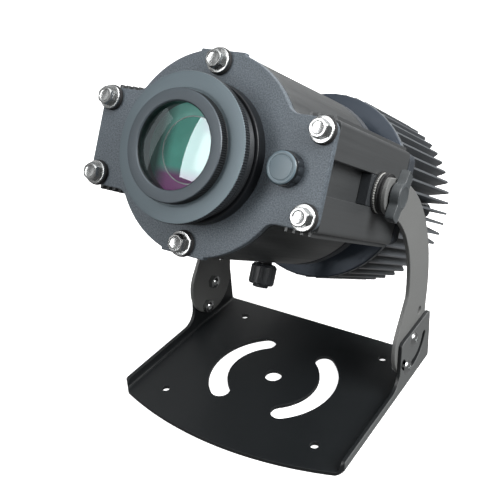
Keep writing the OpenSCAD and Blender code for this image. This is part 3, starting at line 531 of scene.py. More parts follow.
@dataclass(frozen=True)
class Turned(Finish):
    """Turned and anodised metal: close rings of tool marks round the axis under a satin blast.

    Behind a height along the axis the colour goes to a painted shade of the rim, and in front of it the face keeps
    the lit colour: painted light and shade of one metal, as on a knurled rim under a bright face.
    """

    pitch: float = 0.28
    painted_shade_z: float = -999.0
    # rim: painted shade behind the height; the colour in front of it is the lit face.
    rim: Triple = (24, 26, 28)

    def relief(self, bench: Bench, where: Value) -> Relief:
        """Tool marks are noise of the radius and height alone; the blast is fine noise in space."""
        marks = bench.noise(bench.radial(where), self.pitch, 1.0)
        blast = bench.noise(where, 0.35, 2.0, 0.6)
        clouds = bench.noise(where, 22.0, 2.0)
        shade = bench.clamp(marks * 0.35 + blast * 0.35 + clouds * 0.4 - 0.05)
        return Relief(shade, (clouds - 0.5) * 0.12 + (marks - 0.5) * 0.08, marks * 0.5 + blast * 0.5)

    def tinted(self, bench: Bench, where: Value, colour: Value) -> Value:
        """Goes from the rim's painted shade to the face's lit colour within a tenth of a millimetre of the height.
        """
        if self.painted_shade_z < -900:
            return colour
        height = bench.node("SeparateXYZ", None, {0: where}, "Z")
        return bench.mix(bench.clamp((height - self.painted_shade_z) * 10), display(self.rim), colour)


@dataclass(frozen=True)
class Stainless(Finish):
    """Rolled or pressed stainless steel: bright, with fine scratches and faint smudges."""

    def relief(self, bench: Bench, where: Value) -> Relief:
        """Scratches are thin stretched noise across two directions; smudges are wide noise."""
        scratch = bench.noise(bench.stretch(where, (1.0, 0.06, 1.0)), 0.16, 2.0, 0.7)
        cross = bench.noise(bench.stretch(where, (0.08, 1.0, 0.3)), 0.22, 2.0, 0.7)
        smudge = bench.noise(where, 3.5, 3.0, 0.6)
        shade = bench.clamp(smudge * 0.7 + scratch * 0.3)
        return Relief(shade, (smudge - 0.45) * 0.22 + (scratch - 0.5) * 0.1, scratch * 0.5 + cross * 0.5)


@dataclass(frozen=True)
class Moulded(Finish):
    """Moulded plastic: a spark-eroded skin with shallow pits and handling shine."""

    pit: float = 0.3

    def relief(self, bench: Bench, where: Value) -> Relief:
        """Pits are the distance to scattered points; the shine is wide noise."""
        pits = bench.node("TexVoronoi", None, {"Vector": where, "Scale": 1 / self.pit}, "Distance")
        fine = bench.noise(where, 0.2, 2.0, 0.6)
        shine = bench.noise(where, 7.0, 2.0)
        shade = bench.clamp(fine * 0.4 + shine * 0.6)
        return Relief(shade, (shine - 0.5) * 0.2, pits * 0.6 + fine * 0.4)


@dataclass(frozen=True)
class Rubber(Finish):
    """Cut or moulded rubber: matt, finely pored, with pale dust."""

    def relief(self, bench: Bench, where: Value) -> Relief:
        """Pores are fine noise; dust is where wide and fine noise are both high."""
        pores = bench.noise(where, 0.25, 3.0, 0.7)
        dust = bench.ramp(bench.noise(where, 2.6, 4.0, 0.7), (0.45, 0.0), (0.75, 1.0))
        return Relief(bench.clamp(dust * 0.7 + pores * 0.3), (pores - 0.5) * 0.1, pores)


@dataclass(frozen=True)
class Board(Finish):
    """A circuit board: copper lanes under lacquer, in straight runs."""

    def relief(self, bench: Bench, where: Value) -> Relief:
        """Lanes are the mortar of a brick pattern, broken by square cells."""
        brick_inputs = {"Vector": where, "Scale": 0.22, "Mortar Size": 0.03}
        bricks = bench.node("TexBrick", {"offset": 0.4}, brick_inputs, "Fac")
        cell_inputs = {"Vector": where, "Scale": 0.5}
        cells = bench.node("TexVoronoi", {"distance": "CHEBYCHEV"}, cell_inputs, "Distance")
        mark = bench.clamp(bricks * 0.7 + bench.ramp(cells, (0.15, 1.0), (0.3, 0.0)) * 0.3)
        return Relief(mark, mark * -0.1, mark)


@dataclass(frozen=True)
class Glass(Finish):
    """Coated optical glass: a tinted mirror that is mostly clear, and clearer behind a height on the axis."""

    veil: float = 0.1
    front_z: float = -999.0

    def relief(self, bench: Bench, where: Value) -> Relief:
        """A few wipe marks: wide noise stretched across."""
        wipe = bench.noise(bench.stretch(where, (1.0, 0.3, 1.0)), 9.0, 3.0, 0.6)
        return Relief(wipe, (wipe - 0.5) * 0.02, wipe)

    def make(self) -> bpy.types.Material:
        """Builds the mirror, whose alpha is the veil and a little of the wipe marks."""
        bench = Bench(self.name)
        where = bench.local(self.station)
        relief = self.relief(bench, where)
        height = bench.node("SeparateXYZ", None, {0: where}, "Z")
        front = bench.clamp((height - self.front_z) * 5)
        inputs = {
            "Base Color": (*display(self.colour), 1.0),
            "Metallic": self.metallic,
            "Roughness": bench.clamp(relief.rough + self.roughness, 0.0, 0.1),
            "Alpha": bench.clamp((relief.shade * 0.05 + self.veil) * front + 0.01),
        }
        return bench.close(bench.node("BsdfPrincipled", None, inputs))


@dataclass(frozen=True)
class PaintedReflection(Finish):
    """Inner glass with painted reflections: green, purple below and at the upper right, darker at the left."""

    purple_reflection: Triple = (90, 52, 88)
    painted_glow: float = 0.42

    def relief(self, bench: Bench, where: Value) -> Relief:
        """Swirls are wide noise."""
        swirl = bench.noise(where, 11.0, 2.0, 0.5)
        return Relief(swirl, (swirl - 0.5) * 0.05, swirl)

    def make(self) -> bpy.types.Material:
        """Builds the glass: painted reflections coloured by the place across and up, and a painted light from
        emission though the glass is no lamp.
        """
        bench = Bench(self.name)
        where = bench.local(self.station)
        relief = self.relief(bench, where)
        across, up = (bench.node("SeparateXYZ", None, {0: where}, name) for name in ("X", "Y"))
        # Masks of painted reflections: purple below and at the upper right, darker at the left.
        below = bench.clamp((up + 11.0) * -0.18 + relief.shade * 0.2)
        above = bench.clamp((up - 9.0) * 0.12) * bench.clamp((across - 2.0) * 0.12)
        dark_reflection_left = bench.clamp((across + 13.0) * -0.1)
        colour = bench.mix(relief.shade, display(self.colour, 0.8), display(self.colour, 1.15))
        colour = bench.mix(bench.clamp(below + above), colour, display(self.purple_reflection))
        colour = bench.mix(dark_reflection_left, colour, display(self.colour, 0.12))
        inputs = {
            "Base Color": colour,
            "Roughness": bench.clamp(relief.rough + self.roughness, 0.03, 0.5),
            # Painted light: the glass gives off light in its painted reflection colours.
            "Emission Color": colour,
            "Emission Strength": self.painted_glow,
        }
        return bench.close(bench.node("BsdfPrincipled", None, inputs))


class Finishes:
    """The finishes of this object."""

    # The base coat has painted light over the outer faces of its ears and flanges.
    base_coat = SheetCoat(
        "base_black_coat_painted_light", "black_coated_steel", (19, 22, 24), 0.42, contrast=0.22, grain=0.5
    )
    # The arms' black powder coat is given a lit grey: painted light from the side, a lighter copy of the base's
    # black coat.
    arm_coat = Powder("arm_black_coat_painted_light", "arm_coat", (104, 105, 104), 0.46, contrast=0.2, grain=0.6)
    body = Drawn("body_anodised", "anodised_body", (72, 74, 75), 0.34, metallic=0.35, contrast=0.3)
    face = Powder(
        "face_blue_grey", "blue_grey_coat", (90, 98, 105), 0.5, contrast=0.6, metallic=0.25, grain=0.8
    )
    rear = Powder("rear_blue_grey", "blue_grey_coat", (72, 80, 90), 0.46, contrast=0.3, metallic=0.25)
    # The sink's disc face gets a painted shade in front of its height along the axis.
    sink = DrawnSink("sink_anodised_painted_face_shade", "heat_sink_finish", (98, 102, 106), 0.36, metallic=0.4, contrast=0.25)
    # The focus ring's knurled rim has a painted shade behind the face's height.
    ring = Turned(
        "ring_satin_painted_rim_shade", "ring_anodise", (94, 106, 112), 0.42, metallic=0.4, contrast=0.14, painted_shade_z=22.6,
        rim=(40, 43, 46)
    )
    # The retainer's knurled side has a painted shade behind the face's height.
    retainer = Turned(
        "retainer_satin_painted_rim_shade", "retainer_anodise", (72, 80, 86), 0.45, metallic=0.3, contrast=0.14, painted_shade_z=28.9
    )
    tube = Turned("tube_black", "tube_anodise", (20, 21, 23), 0.4, metallic=0.2, contrast=0.25)
    collar = Turned("collar_black", "tube_anodise", (22, 24, 27), 0.35, metallic=0.3, contrast=0.2)
    steel = Stainless("bolt_stainless", "bright_steel", (186, 188, 188), 0.2, metallic=1.0, contrast=0.1)
    ring_steel = Stainless("ring_stainless", "bright_steel", (226, 226, 222), 0.5, metallic=0.6, contrast=0.1)
    rubber = Rubber("seal_rubber", "black_rubber", (24, 24, 25), 0.72, contrast=0.35, depth=0.03)
    plastic = Moulded("knob_plastic", "black_plastic", (40, 43, 46), 0.42, contrast=0.2, depth=0.03)
    vent = Moulded("vent_plastic", "black_plastic", (36, 40, 44), 0.3, contrast=0.18, depth=0.02)
    # Black plastic cap: the face's pale colour is painted light on a lit face; the rim colour behind it is the
    # plastic's own black.
    cap = Turned(
        "vent_cap_painted_face_light", "black_plastic", (88, 104, 112), 0.34, contrast=0.14, painted_shade_z=8.3,
        rim=(20, 22, 24), pitch=0.5
    )
    knob = Moulded("wing_knob_plastic", "black_plastic", (62, 66, 68), 0.4, contrast=0.2, depth=0.03)
    bezel = Turned("bezel_bright", "retainer_anodise", (150, 158, 158), 0.3, metallic=0.5, contrast=0.1)
    rear_sheet = Powder("rear_plate_coat", "anodised_body", (44, 49, 55), 0.6, contrast=0.25)
    lens = Glass("lens_coated", "coated_glass", (216, 230, 234), 0.01, metallic=1.0, veil=0.085, front_z=26.6)
    inner_lens = Glass("inner_lens_coated", "coated_glass", (206, 236, 230), 0.01, metallic=1.0)
    # Painted reflections and painted emitted light on the inner glass and on its cell.
    inner_glass_painted_reflection = PaintedReflection("inner_lens_painted_reflection", "coated_glass", (66, 130, 118), 0.12)
    cell_painted_reflection = PaintedReflection("cell_painted_reflection_glow", "coated_glass", (78, 132, 122), 0.2, painted_glow=0.7)
    gobo = Stainless("gobo_steel", "gobo_metal", (190, 192, 192), 0.2, metallic=1.0, contrast=0.1)
    board = Board("driver_lacquer", "circuit_board", (40, 96, 58), 0.35, contrast=0.4, depth=0.05)
    led_board = Board("led_white_lacquer", "led_board_white", (222, 220, 208), 0.4, contrast=0.1, depth=0.05)
    phosphor = Moulded("led_phosphor", "led_phosphor", (232, 200, 60), 0.5, contrast=0.1, pit=0.8)


@cache
def material_of(finish: Finish) -> bpy.types.Material:
    """The finish's material, made once."""
    return finish.make()


# Pieces

@dataclass
class Assembly(ABC):
    """A group of pieces that one class builds and dresses."""

    body: str = "head"
    made: list[str] = field(default_factory=list)

    @abstractmethod
    def build(self) -> None:
        """Builds and dresses all pieces."""

    def add(
        self, obj: bpy.types.Object, finish: Finish, nodes: Sequence[str], body: str | None = None
    ) -> None:
        """Dresses a new piece, lets it ride on its body and stand for its nodes.

        Args:
            obj: The new object.
            finish: Its finish.
            nodes: CAD nodes that it stands for.
            body: The body that it rides on, if not the group's own.
        """
        obj.data.materials.clear()
        obj.data.materials.append(material_of(finish))
        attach(obj, body or self.body)
        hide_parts(*nodes)
        self.made.append(obj.name)
        log.info("%s: %d faces, %s, for %s", obj.name, len(obj.data.polygons), finish.name, ", ".join(nodes))

    def skin(
        self, name: str, parts: Sequence[tuple[Shell, Station]], finish: Finish, nodes: Sequence[str],
        body: str | None = None, crease: float = 32.0,
    ) -> None:
        """Makes a piece of closed skins and adds it."""
        obj = bpy.data.objects.new(name, mesh_of(name, parts, crease))
        bpy.context.scene.collection.objects.link(obj)
        self.add(obj, finish, nodes, body)

    def soften(self, node: str, name: str, width: float, finish: Finish, body: str | None = None) -> None:
        """Makes a piece of a CAD node's merged copy, with its edges rounded, and adds it.

        Args:
            node: The CAD node.
            name: The new piece's name.
            width: Width of the rounding, in millimetres.
            finish: Its finish.
            body: The body that it rides on, if not the group's own.
        """
        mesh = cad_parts[node].data.copy()
        mesh.name = name
        tidy_mesh(mesh, True, width)
        mesh.shade_smooth()
        mesh.set_sharp_from_angle(angle=math.radians(20))
        obj = bpy.data.objects.new(name, mesh)
        bpy.context.scene.collection.objects.link(obj)
        self.add(obj, finish, [node], body)

    def dress(self, finish: Finish, *nodes: str) -> None:
        """Gives CAD nodes that stay a finish."""
        for node in nodes:
            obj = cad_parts[node]
            for slot in obj.material_slots:
                slot.material = material_of(finish)
            log.info("%s: kept, %s", node, finish.name)


@dataclass
class YokeHardware:
    """Button-headed bolts and domed nuts of the yoke."""

    head_r: float = 5.6
    head_h: float = 2.8
    shank_r: float = 3.0
    socket: float = 1.9
    nut_af: float = 10.0
    nut_h: float = 4.0
    dome_r: float = 4.4
    dome_h: float = 2.0
    arm_x: float = 87.0
    ear_out: float = 93.0

    def bolt(self) -> Shell:
        """A bolt along +Z: shank, a domed head r² + (z + c)² = R², and a six-sided socket."""
        big = (self.head_r ** 2 + self.head_h ** 2) / (2 * self.head_h)
        t = np.linspace(1, 0.5, 12)
        dome_r = self.head_r * t
        dome_z = self.ear_out + self.head_h - big + np.sqrt(big ** 2 - dome_r ** 2)
        outside = np.array(
            [(0, 83.0), (2.6, 83.0), (3.0, 83.4), (self.shank_r, self.ear_out), (5.3, self.ear_out)]
        )
        r, z = np.append(outside[:, 0], dome_r), np.append(outside[:, 1], dome_z)
        columns = 72
        hexagon = flats(angles(columns), self.socket)
        top = dome_z[-1]
        rows_r = [np.full(columns, v) for v in r] + [hexagon * 1.1, hexagon, hexagon, np.zeros(columns)]
        rows_z = [np.full(columns, v) for v in z] + [
            np.full(columns, v) for v in (top + 0.05, top - 0.1, top - 1.1, top - 1.5)
        ]
        return polar(np.array(rows_r), np.array(rows_z), columns)

    def nut(self) -> Shell:
        """A nut inwards from the arm: a six-sided collar with turned edges under a dome, over the bolt."""
        columns = 96
        hexagon = np.minimum(flats(angles(columns), self.nut_af / 2), self.nut_af / 2 * 1.13)
        drop = (hexagon - self.nut_af / 2 + 0.15) * math.tan(math.radians(30))
        big = (self.dome_r ** 2 + self.dome_h ** 2) / (2 * self.dome_h)
        t = np.linspace(1, 0, 10)
        dome_r = self.dome_r * t
        dome_z = self.nut_h + self.dome_h - big + np.sqrt(big ** 2 - dome_r ** 2)
        ones = np.ones(columns)
        rows_r = [ones * 0, ones * 3.2, ones * 3.3, hexagon, hexagon, ones * (self.nut_af / 2 - 0.15)]
        rows_z = [ones * 3.6, ones * 3.6, ones * 0, ones * 0, self.nut_h - drop, ones * self.nut_h]
        rows_r += [ones * v for v in dome_r]
        rows_z += [ones * v for v in dome_z]
        return polar(np.array(rows_r), self.arm_x - np.array(rows_z), columns)

    def parts(self, shell: Shell, y: float, z: float) -> list[tuple[Shell, Station]]:
        """The shell at one point of the side view, on both sides."""
        return [(shell, side.at(y, z)) for side in Side]


@dataclass
class Yoke(Assembly):
    """Base plate with its ears, the two bowed arms, and the bolts that join them."""

    body: str = "base"
    pivot_y: float = 47.5
    pivot_z: float = 37.5
    lock_r: float = 21.0
    lock_angle: float = -122.0
    hardware: YokeHardware = field(default_factory=YokeHardware)

    def build(self) -> None:
        """Rounds the bent sheet pieces and adds bolts and nuts."""
        f = Finishes
        self.soften("base_plate", "base_sheet", 0.3, f.base_coat)
        for side in Side:
            self.soften(side.node("arm"), side.node("bow"), 0.5, f.arm_coat, "arms")
        bolt, nut = self.hardware.bolt(), self.hardware.nut()
        angle = math.radians(self.lock_angle)
        lock = self.pivot_y + self.lock_r * math.cos(angle), self.pivot_z + self.lock_r * math.sin(angle)
        for place, kind, body in (((self.pivot_y, self.pivot_z), "pivot", "base"), (lock, "lock", "arms")):
            self.skin(f"{kind}_buttons", self.hardware.parts(bolt, *place), f.steel, [f"{kind}_bolts"], body)
            self.skin(f"{kind}_dome_nuts", self.hardware.parts(nut, *place), f.steel, [f"{kind}_nuts"], body)


@dataclass
class HeadShell(Assembly):
    """Extruded body with its plates and gaskets."""

    def build(self) -> None:
        """Rounds the body, the plates and the gaskets."""
        f = Finishes
        self.soften("body_extrusion", "ribbed_body", 0.35, f.body)
        self.soften("front_plate", "face_plate", 0.6, f.face)
        self.soften("front_gasket", "face_gasket", 0.3, f.rubber)
        self.soften("rear_gasket", "back_gasket", 0.4, f.rubber)
        self.soften("rear_plate", "back_plate", 0.8, f.rear_sheet)


@dataclass
class PlateFasteners(Assembly):
    """Six hexagon bolts on steel washers and rubber seals, and the rear plate's socket screws."""

    corner_u: float = 75.0
    corner_v: float = 24.0
    middle_v: float = 54.0
    af: float = 10.0
    head_h: float = 4.9
    seal_t: float = 2.5
    washer_t: float = 1.6

    def corners(self) -> list[tuple[float, float]]:
        """Places of the four corner bolts."""
        return [(i * self.corner_u, j * self.corner_v) for i, j in ((1, 1), (-1, 1), (-1, -1), (1, -1))]

    def hexagon_bolt(self) -> Shell:
        """A hexagon bolt: sides at the polygon's radius, corners cut by a 30 degree cone, a dished face."""
        columns = 96
        ones = np.ones(columns)
        half = self.af / 2
        side = np.minimum(flats(angles(columns), half), half * 1.14)
        flat = half - 0.25
        drop = (side - flat) * math.tan(math.radians(30))
        h = self.head_h
        rows = [
            (ones * 0, ones * -34), (ones * 2.2, ones * -34), (ones * 2.95, ones * -33.3), (ones * 2.95, ones * 0),
            (side - 0.25, ones * 0), (side, ones * 0.25), (side, h - drop - 0.12), (side - 0.1, h - drop),
            (ones * flat, ones * h), (ones * half * 0.76, ones * h), (ones * half * 0.7, ones * (h - 0.35)),
            (ones * half * 0.6, ones * (h - 0.5)), (ones * 0, ones * (h - 0.42)),
        ]
        return polar(np.array([r for r, _ in rows]), np.array([z for _, z in rows]), columns)

    def socket_screw(self) -> Shell:
        """A cap screw for the rear plate: a rounded cylinder with a six-sided socket and a shank."""
        columns = 72
        ones, hexagon = np.ones(columns), flats(angles(columns), 2.4)
        rows = [
            (ones * 0, ones * -26), (ones * 2.95, ones * -25.4), (ones * 2.95, ones * 0), (ones * 4.8, ones * 0),
            (ones * 5, ones * 0.2), (ones * 5, ones * 3.4), (ones * 4.8, ones * 3.85), (ones * 4.4, ones * 4),
            (hexagon + 0.25, ones * 4), (hexagon, ones * 3.8), (hexagon, ones * 1.8), (ones * 0, ones * 1.6),
        ]
        return polar(np.array([r for r, _ in rows]), np.array([z for _, z in rows]), columns)

    def build(self) -> None:
        """Puts the bolts, washers, seals and rear screws in their places."""
        f = Finishes
        places = self.corners() + [(0.0, self.middle_v), (0.0, -self.middle_v)]
        spots = [HEAD.at(u, v, 0) for u, v in places]
        top = self.seal_t + self.washer_t
        bolt = self.hexagon_bolt()
        bolts = [(bolt, spot.at(0, 0, top).spun(u * 0.7)) for spot, (u, _) in zip(spots, places)]
        self.skin("hexagon_bolts", bolts, f.steel, ["plate_bolts"], crease=24)
        washer = turned(ring_profile(7.5, 3.3, self.seal_t, top, 0.35), 72, True)
        self.skin("steel_washers", [(washer, spot) for spot in spots], f.steel, ["plate_washers"])
        seal = turned(ring_profile(8.0, 3.3, 0, self.seal_t, 0.7), 72, True)
        self.skin("rubber_seals", [(seal, spot) for spot in spots], f.rubber, ["plate_seals"])
        back = Station(HEAD.origin, HEAD.across, tuple(-v for v in HEAD.up), tuple(-v for v in HEAD.along))
        screws = [(self.socket_screw(), back.at(u, v, 131)) for u, v in self.corners()]
        self.skin("rear_socket_screws", screws, f.steel, ["rear_bolts"])


@dataclass
class VentPlug(Assembly):
    """The screwed vent plug beside the lens."""

    u: float = 58.3
    r: float = 10.0
    cap_r: float = 9.5

    def build(self) -> None:
        """A scalloped body under a smooth cap with one fine groove, and the nut behind the plate."""
        f = Finishes
        spot = HEAD.at(self.u, 0, 0)
        columns = 12 * 16
        rib = 0.5 + 0.5 * np.cos(12 * angles(columns))
        profile = rounded(
            [(0, -10), (6, -10), (6, 0), (self.r, 0), (self.r, 6.4), (0, 6.4)], [0, 0.8, 0, 0.3, 0.5, 0]
        )
        r, z = profile[:, :1], profile[:, 1:]
        cut = ((z > 1.4) & (z < 6.3) & (r > 8)).astype(float)
        body = polar(r - 1.3 * cut * (1 - rib ** 0.4), z, columns)
        self.skin("vent_body_ribbed", [(body, spot)], f.vent, ["vent_body"])
        cap = rounded(
            [(0, 6.4), (9.3, 6.4), (self.cap_r, 6.7), (self.cap_r, 8.1), (8.6, 9), (7.4, 9), (7.2, 8.75),
             (6.8, 8.75), (6.6, 9), (0, 9)],
            [0, 0, 0.1, 0.5, 0.5, 0.1, 0.1, 0.1, 0.1, 0], 5,
        )
        self.skin("vent_cap_smooth", [(turned(cap, 96), spot)], f.cap, ["vent_cap"])
        self.dress(f.plastic, "vent_nut")


@dataclass
class LensGroup(Assembly):
    """Fixed collar, lens carriage with its glass, and the knurled focus ring."""

    collar_r: float = 42.3
    ring_r: float = 43.25
    ring_z: float = 18.0
    retainer_r: float = 32.3
    retainer_z: float = 23.2

    def dome(self, r: float, z: float, edge: float, big: float, rim: float = 1.6, way: int = 1) -> Shell:
        """A lens: a flat back and rim under a sphere's cap: height = sag(0) - sag(r), sag = R - sqrt(R² - r²).

        Args:
            r: Radius of the lens.
            z: Height of its flat back.
            edge: Thickness at the rim.
            big: Radius of the sphere.
            rim: Width of the flat rim.
            way: 1 where the dome faces forwards, -1 where it faces back.

        Returns:
            The lens as a closed skin.
        """
        cap_r = (r - rim) * np.linspace(1, 0, 24)
        cap_z = edge + np.sqrt(big ** 2 - cap_r ** 2) - math.sqrt(big ** 2 - (r - rim) ** 2)
        side = rounded([(0, 0), (r, 0), (r, edge), (r - rim, edge)], [0, 0.25, 0.25, 0])
        profile = np.vstack([side, np.stack([cap_r, cap_z], -1)])
        return turned(profile * (1, way) + (0, z), 160)

    def build(self) -> None:
        """Collar, ring, tube, retainer and lenses."""
        f = Finishes
        collar = rounded(
            [(40.05, -5), (40.95, -5), (40.95, 0), (self.collar_r, 0), (self.collar_r, 8), (40.05, 8)],
            [0, 0, 0, 0, 0.8, 0.3],
        )
        self.skin("collar_turned", [(turned(collar, 240, True), HEAD)], f.collar, ["focus_collar"])
        self.focus_ring()
        self.carriage()

    def focus_ring(self) -> None:
        """The ring: a threaded skirt, r less 0.22 of a triangle wave of z, under a knurled, turned head."""
        z0, r0 = self.ring_z, self.ring_r
        wave = np.linspace(-7.5, 17.5, 51)
        thread = np.stack([39.98 - 0.22 * np.abs(2 * np.mod(wave, 1) - 1), wave], -1)
        head = rounded(
            [(r0 - 0.4, z0), (r0, z0 + 0.4), (r0, z0 + 4.7), (r0 - 0.4, z0 + 5.1), (33.6, z0 + 5.1),
             (33.4, z0 + 4.9), (29.9, z0 + 4.9), (29.9, z0), (36.1, z0), (36.1, -8), (39.5, -8)],
            [0.1, 0.1, 0.15, 0.15, 0.1, 0.1, 0, 0, 0, 0.2, 0.2],
        )
        profile = np.vstack([thread, head])
        ring = knurled(profile, 180, 0.4, z0 + 0.3, z0 + 4.8, 42.7)
        self.skin("focus_ring_knurled", [(ring, HEAD)], Finishes.ring, ["focus_ring"], "focus_ring", 28)

    def carriage(self) -> None:
        """The tube with stepped baffles inside, the retainer, and the front and rear glass."""
        f = Finishes
        body = "lens_carriage"
        wave = np.linspace(14.5, -17.5, 161)
        baffle = np.stack([33.55 - 0.5 * np.mod(wave / 2, 1), wave], -1)
        tube = np.vstack([
            rounded(
                [(36.05, -30), (36.05, 17.9), (29.85, 17.9), (29.85, 27), (26.95, 27), (26.95, 14.9),
                 (33.55, 14.9)],
                [0.3, 0.3, 0, 0.2, 0.2, 0.2, 0],
            ),
            baffle,
            [(33.55, -20), (31.95, -20), (31.95, -21.5), (33.55, -21.5), (33.55, -30)],
        ])
        self.skin("lens_tube_baffled", [(turned(tube, 240, True), HEAD)], f.tube, ["lens_tube"], body)
        z0, r0 = self.retainer_z, self.retainer_r
        retainer = rounded(
            [(29.9, z0), (r0, z0), (r0, z0 + 5.6), (r0 - 0.6, z0 + 6.4), (25.6, z0 + 6.4), (24.8, z0 + 5.6),
             (24.8, z0 + 3.85), (29.9, z0 + 3.85)],
            [0, 0.3, 0.2, 0.3, 0.15, 0.15, 0.2, 0],
        )
        ring = knurled(retainer, 150, 0.35, z0 + 0.3, z0 + 5.7, 31.6)
        self.skin("retainer_knurled", [(ring, HEAD)], f.retainer, ["retainer_ring"], body, 28)
        self.skin("front_glass", [(self.dome(26.9, 21.6, 5, 115), HEAD)], f.lens, ["front_lens"], body)
        cell = turned(ring_profile(33.5, 19.4, 8.5, 12, 0.3), 160, True)
        self.skin("inner_cell", [(cell, HEAD)], f.cell_painted_reflection, ["lens_tube"], body)
        bezel = turned(ring_profile(19.9, 19.2, 12.0, 12.3, 0.1), 160, True)
        self.skin("inner_bezel", [(bezel, HEAD)], f.bezel, ["lens_tube"], body)
        self.skin("inner_glass", [(self.dome(19.3, 8.6, 2.2, 70), HEAD)], f.inner_glass_painted_reflection, ["lens_tube"], body)
        rear_lens = self.dome(33.5, -21.5, 3.5, 110, way=-1)
        self.skin("rear_glass", [(rear_lens, HEAD)], f.inner_lens, ["rear_lens"], body)
        rear = turned(ring_profile(33.5, 32.05, -30, -25, 0.2), 160, True)
        self.skin("rear_glass_ring", [(rear, HEAD)], f.tube, ["rear_lens_ring"], body)


@dataclass
class RearEnd(Assembly):
    """Neck, heat sink, rear cap and cable gland."""

    def build(self) -> None:
        """Rounds the neck, the finned sink and the cap, and dresses the gland."""
        f = Finishes
        self.soften("rear_neck", "rear_neck_turned", 0.5, f.rear)
        self.soften("heat_sink", "finned_sink", 0.3, f.sink)
        self.soften("rear_cap", "rear_cap_moulded", 0.4, f.plastic)
        self.soften("gland_body", "gland_hexagon", 0.3, f.plastic)
        self.soften("gland_nut", "gland_dome", 0.3, f.plastic)
        self.dress(f.rubber, "gland_seal")
        self.dress(f.steel, "rear_cap_screws")


@dataclass
class Optics(Assembly):
    """What the sealed head holds."""

    def build(self) -> None:
        """Dresses the inner nodes."""
        f = Finishes
        self.dress(f.board, "driver_board")
        self.dress(f.led_board, "led_board")
        self.dress(f.phosphor, "led_emitter")
        self.dress(f.tube, "optic_carrier", "gobo_holder", "condenser_ring")
        self.dress(f.inner_lens, "condenser_lenses")
        self.dress(f.gobo, "gobo_disc", "gobo_spring_ring")


@dataclass
class TiltClamps(Assembly):
    """On each side: block and nut in the slot, rubber washer, serrated ring, spacer, washer and wing knob."""

    hub_r: float = 8.2
    wing_r: float = 16.9
    wing_half_w: float = 4.4
    knob_l: float = 6.8
    knob_x: float = 90.5
    knob_angle: float = 41.0

    def wing_knob(self) -> Shell:
        """A wing knob: at each angle the soft maximum of a round hub and a long box with rounded corners.

        The box is met where (x / L)^8 + (y / W)^8 = 1; the soft maximum of p and q is ln(e^kp + e^kq) / k.

        Returns:
            The knob as a closed skin along +Z from its foot.
        """
        columns = 240
        a = angles(columns)
        box = (np.abs(np.cos(a) / self.wing_r) ** 8 + np.abs(np.sin(a) / self.wing_half_w) ** 8) ** (-1 / 8)
        k = 1.3
        outline = np.minimum(np.log(np.exp(self.hub_r * k) + np.exp(box * k)) / k, self.wing_r)
        h = self.knob_l
        profile = rounded([(0.9, 0), (0, 0.9), (0, h - 0.6), (0.6, h)], [0.3, 0.4, 0.25, 0.2], 4)
        r = [np.zeros(columns), np.full(columns, 5.0)] + list(outline - profile[:, :1])
        z = [0.0, 0.0] + list(profile[:, 1])
        r += [np.full(columns, v) for v in (6.6, 6.2, 3.5, 0.0)]
        z += [h, h - 0.25, h - 0.5, h - 0.55]
        return polar(np.array(r), np.array(z), columns)

    def build(self) -> None:
        """Builds the stack of each side and the knob over it."""
        f = Finishes
        centres = [side.at(AXIS_Y, AXIS_Z) for side in Side]
        self.soften("slot_blocks", "slot_blocks_moulded", 0.5, f.plastic)
        self.dress(f.steel, "slot_nuts")
        rubber = turned(ring_profile(13.5, 4.05, 81, 82, 0.3), 120, True)
        self.skin("friction_washers", [(rubber, spot) for spot in centres], f.rubber, ["rubber_washers"])
        serrated = knurled(ring_profile(12.8, 4.05, 82, 83.3, 0.15), 48, 0.6, 81, 84, 12)
        rings = [(serrated, spot) for spot in centres]
        self.skin("serrated_steel_rings", rings, f.ring_steel, ["serrated_rings"])
        spacer = turned(rounded(
            [(12.8, 83.3), (12.8, 84.4), (12.2, 84.7), (12.2, 85.6), (12.8, 85.9), (12.8, 87), (4.05, 87),
             (4.05, 83.3)],
            [0.2, 0.2, 0.1, 0.1, 0.2, 0.2, 0, 0],
        ), 120, True)
        self.skin("clamp_spacers_turned", [(spacer, spot) for spot in centres], f.rubber, ["clamp_spacers"])
        knob = self.wing_knob()
        washer = turned(ring_profile(7.5, 4.05, 90, 90.5, 0.12), 96, True)
        for side, spot in zip(Side, centres):
            body = side.node("clamp")
            place = spot.at(0, 0, self.knob_x).spun(self.knob_angle)
            self.skin(side.node("wing_knob"), [(knob, place)], f.knob, [side.node("knob")], body)
            self.skin(side.node("washer"), [(washer, spot)], f.collar, [side.node("knob_washer")], body)
            self.dress(f.steel, side.node("stud"))


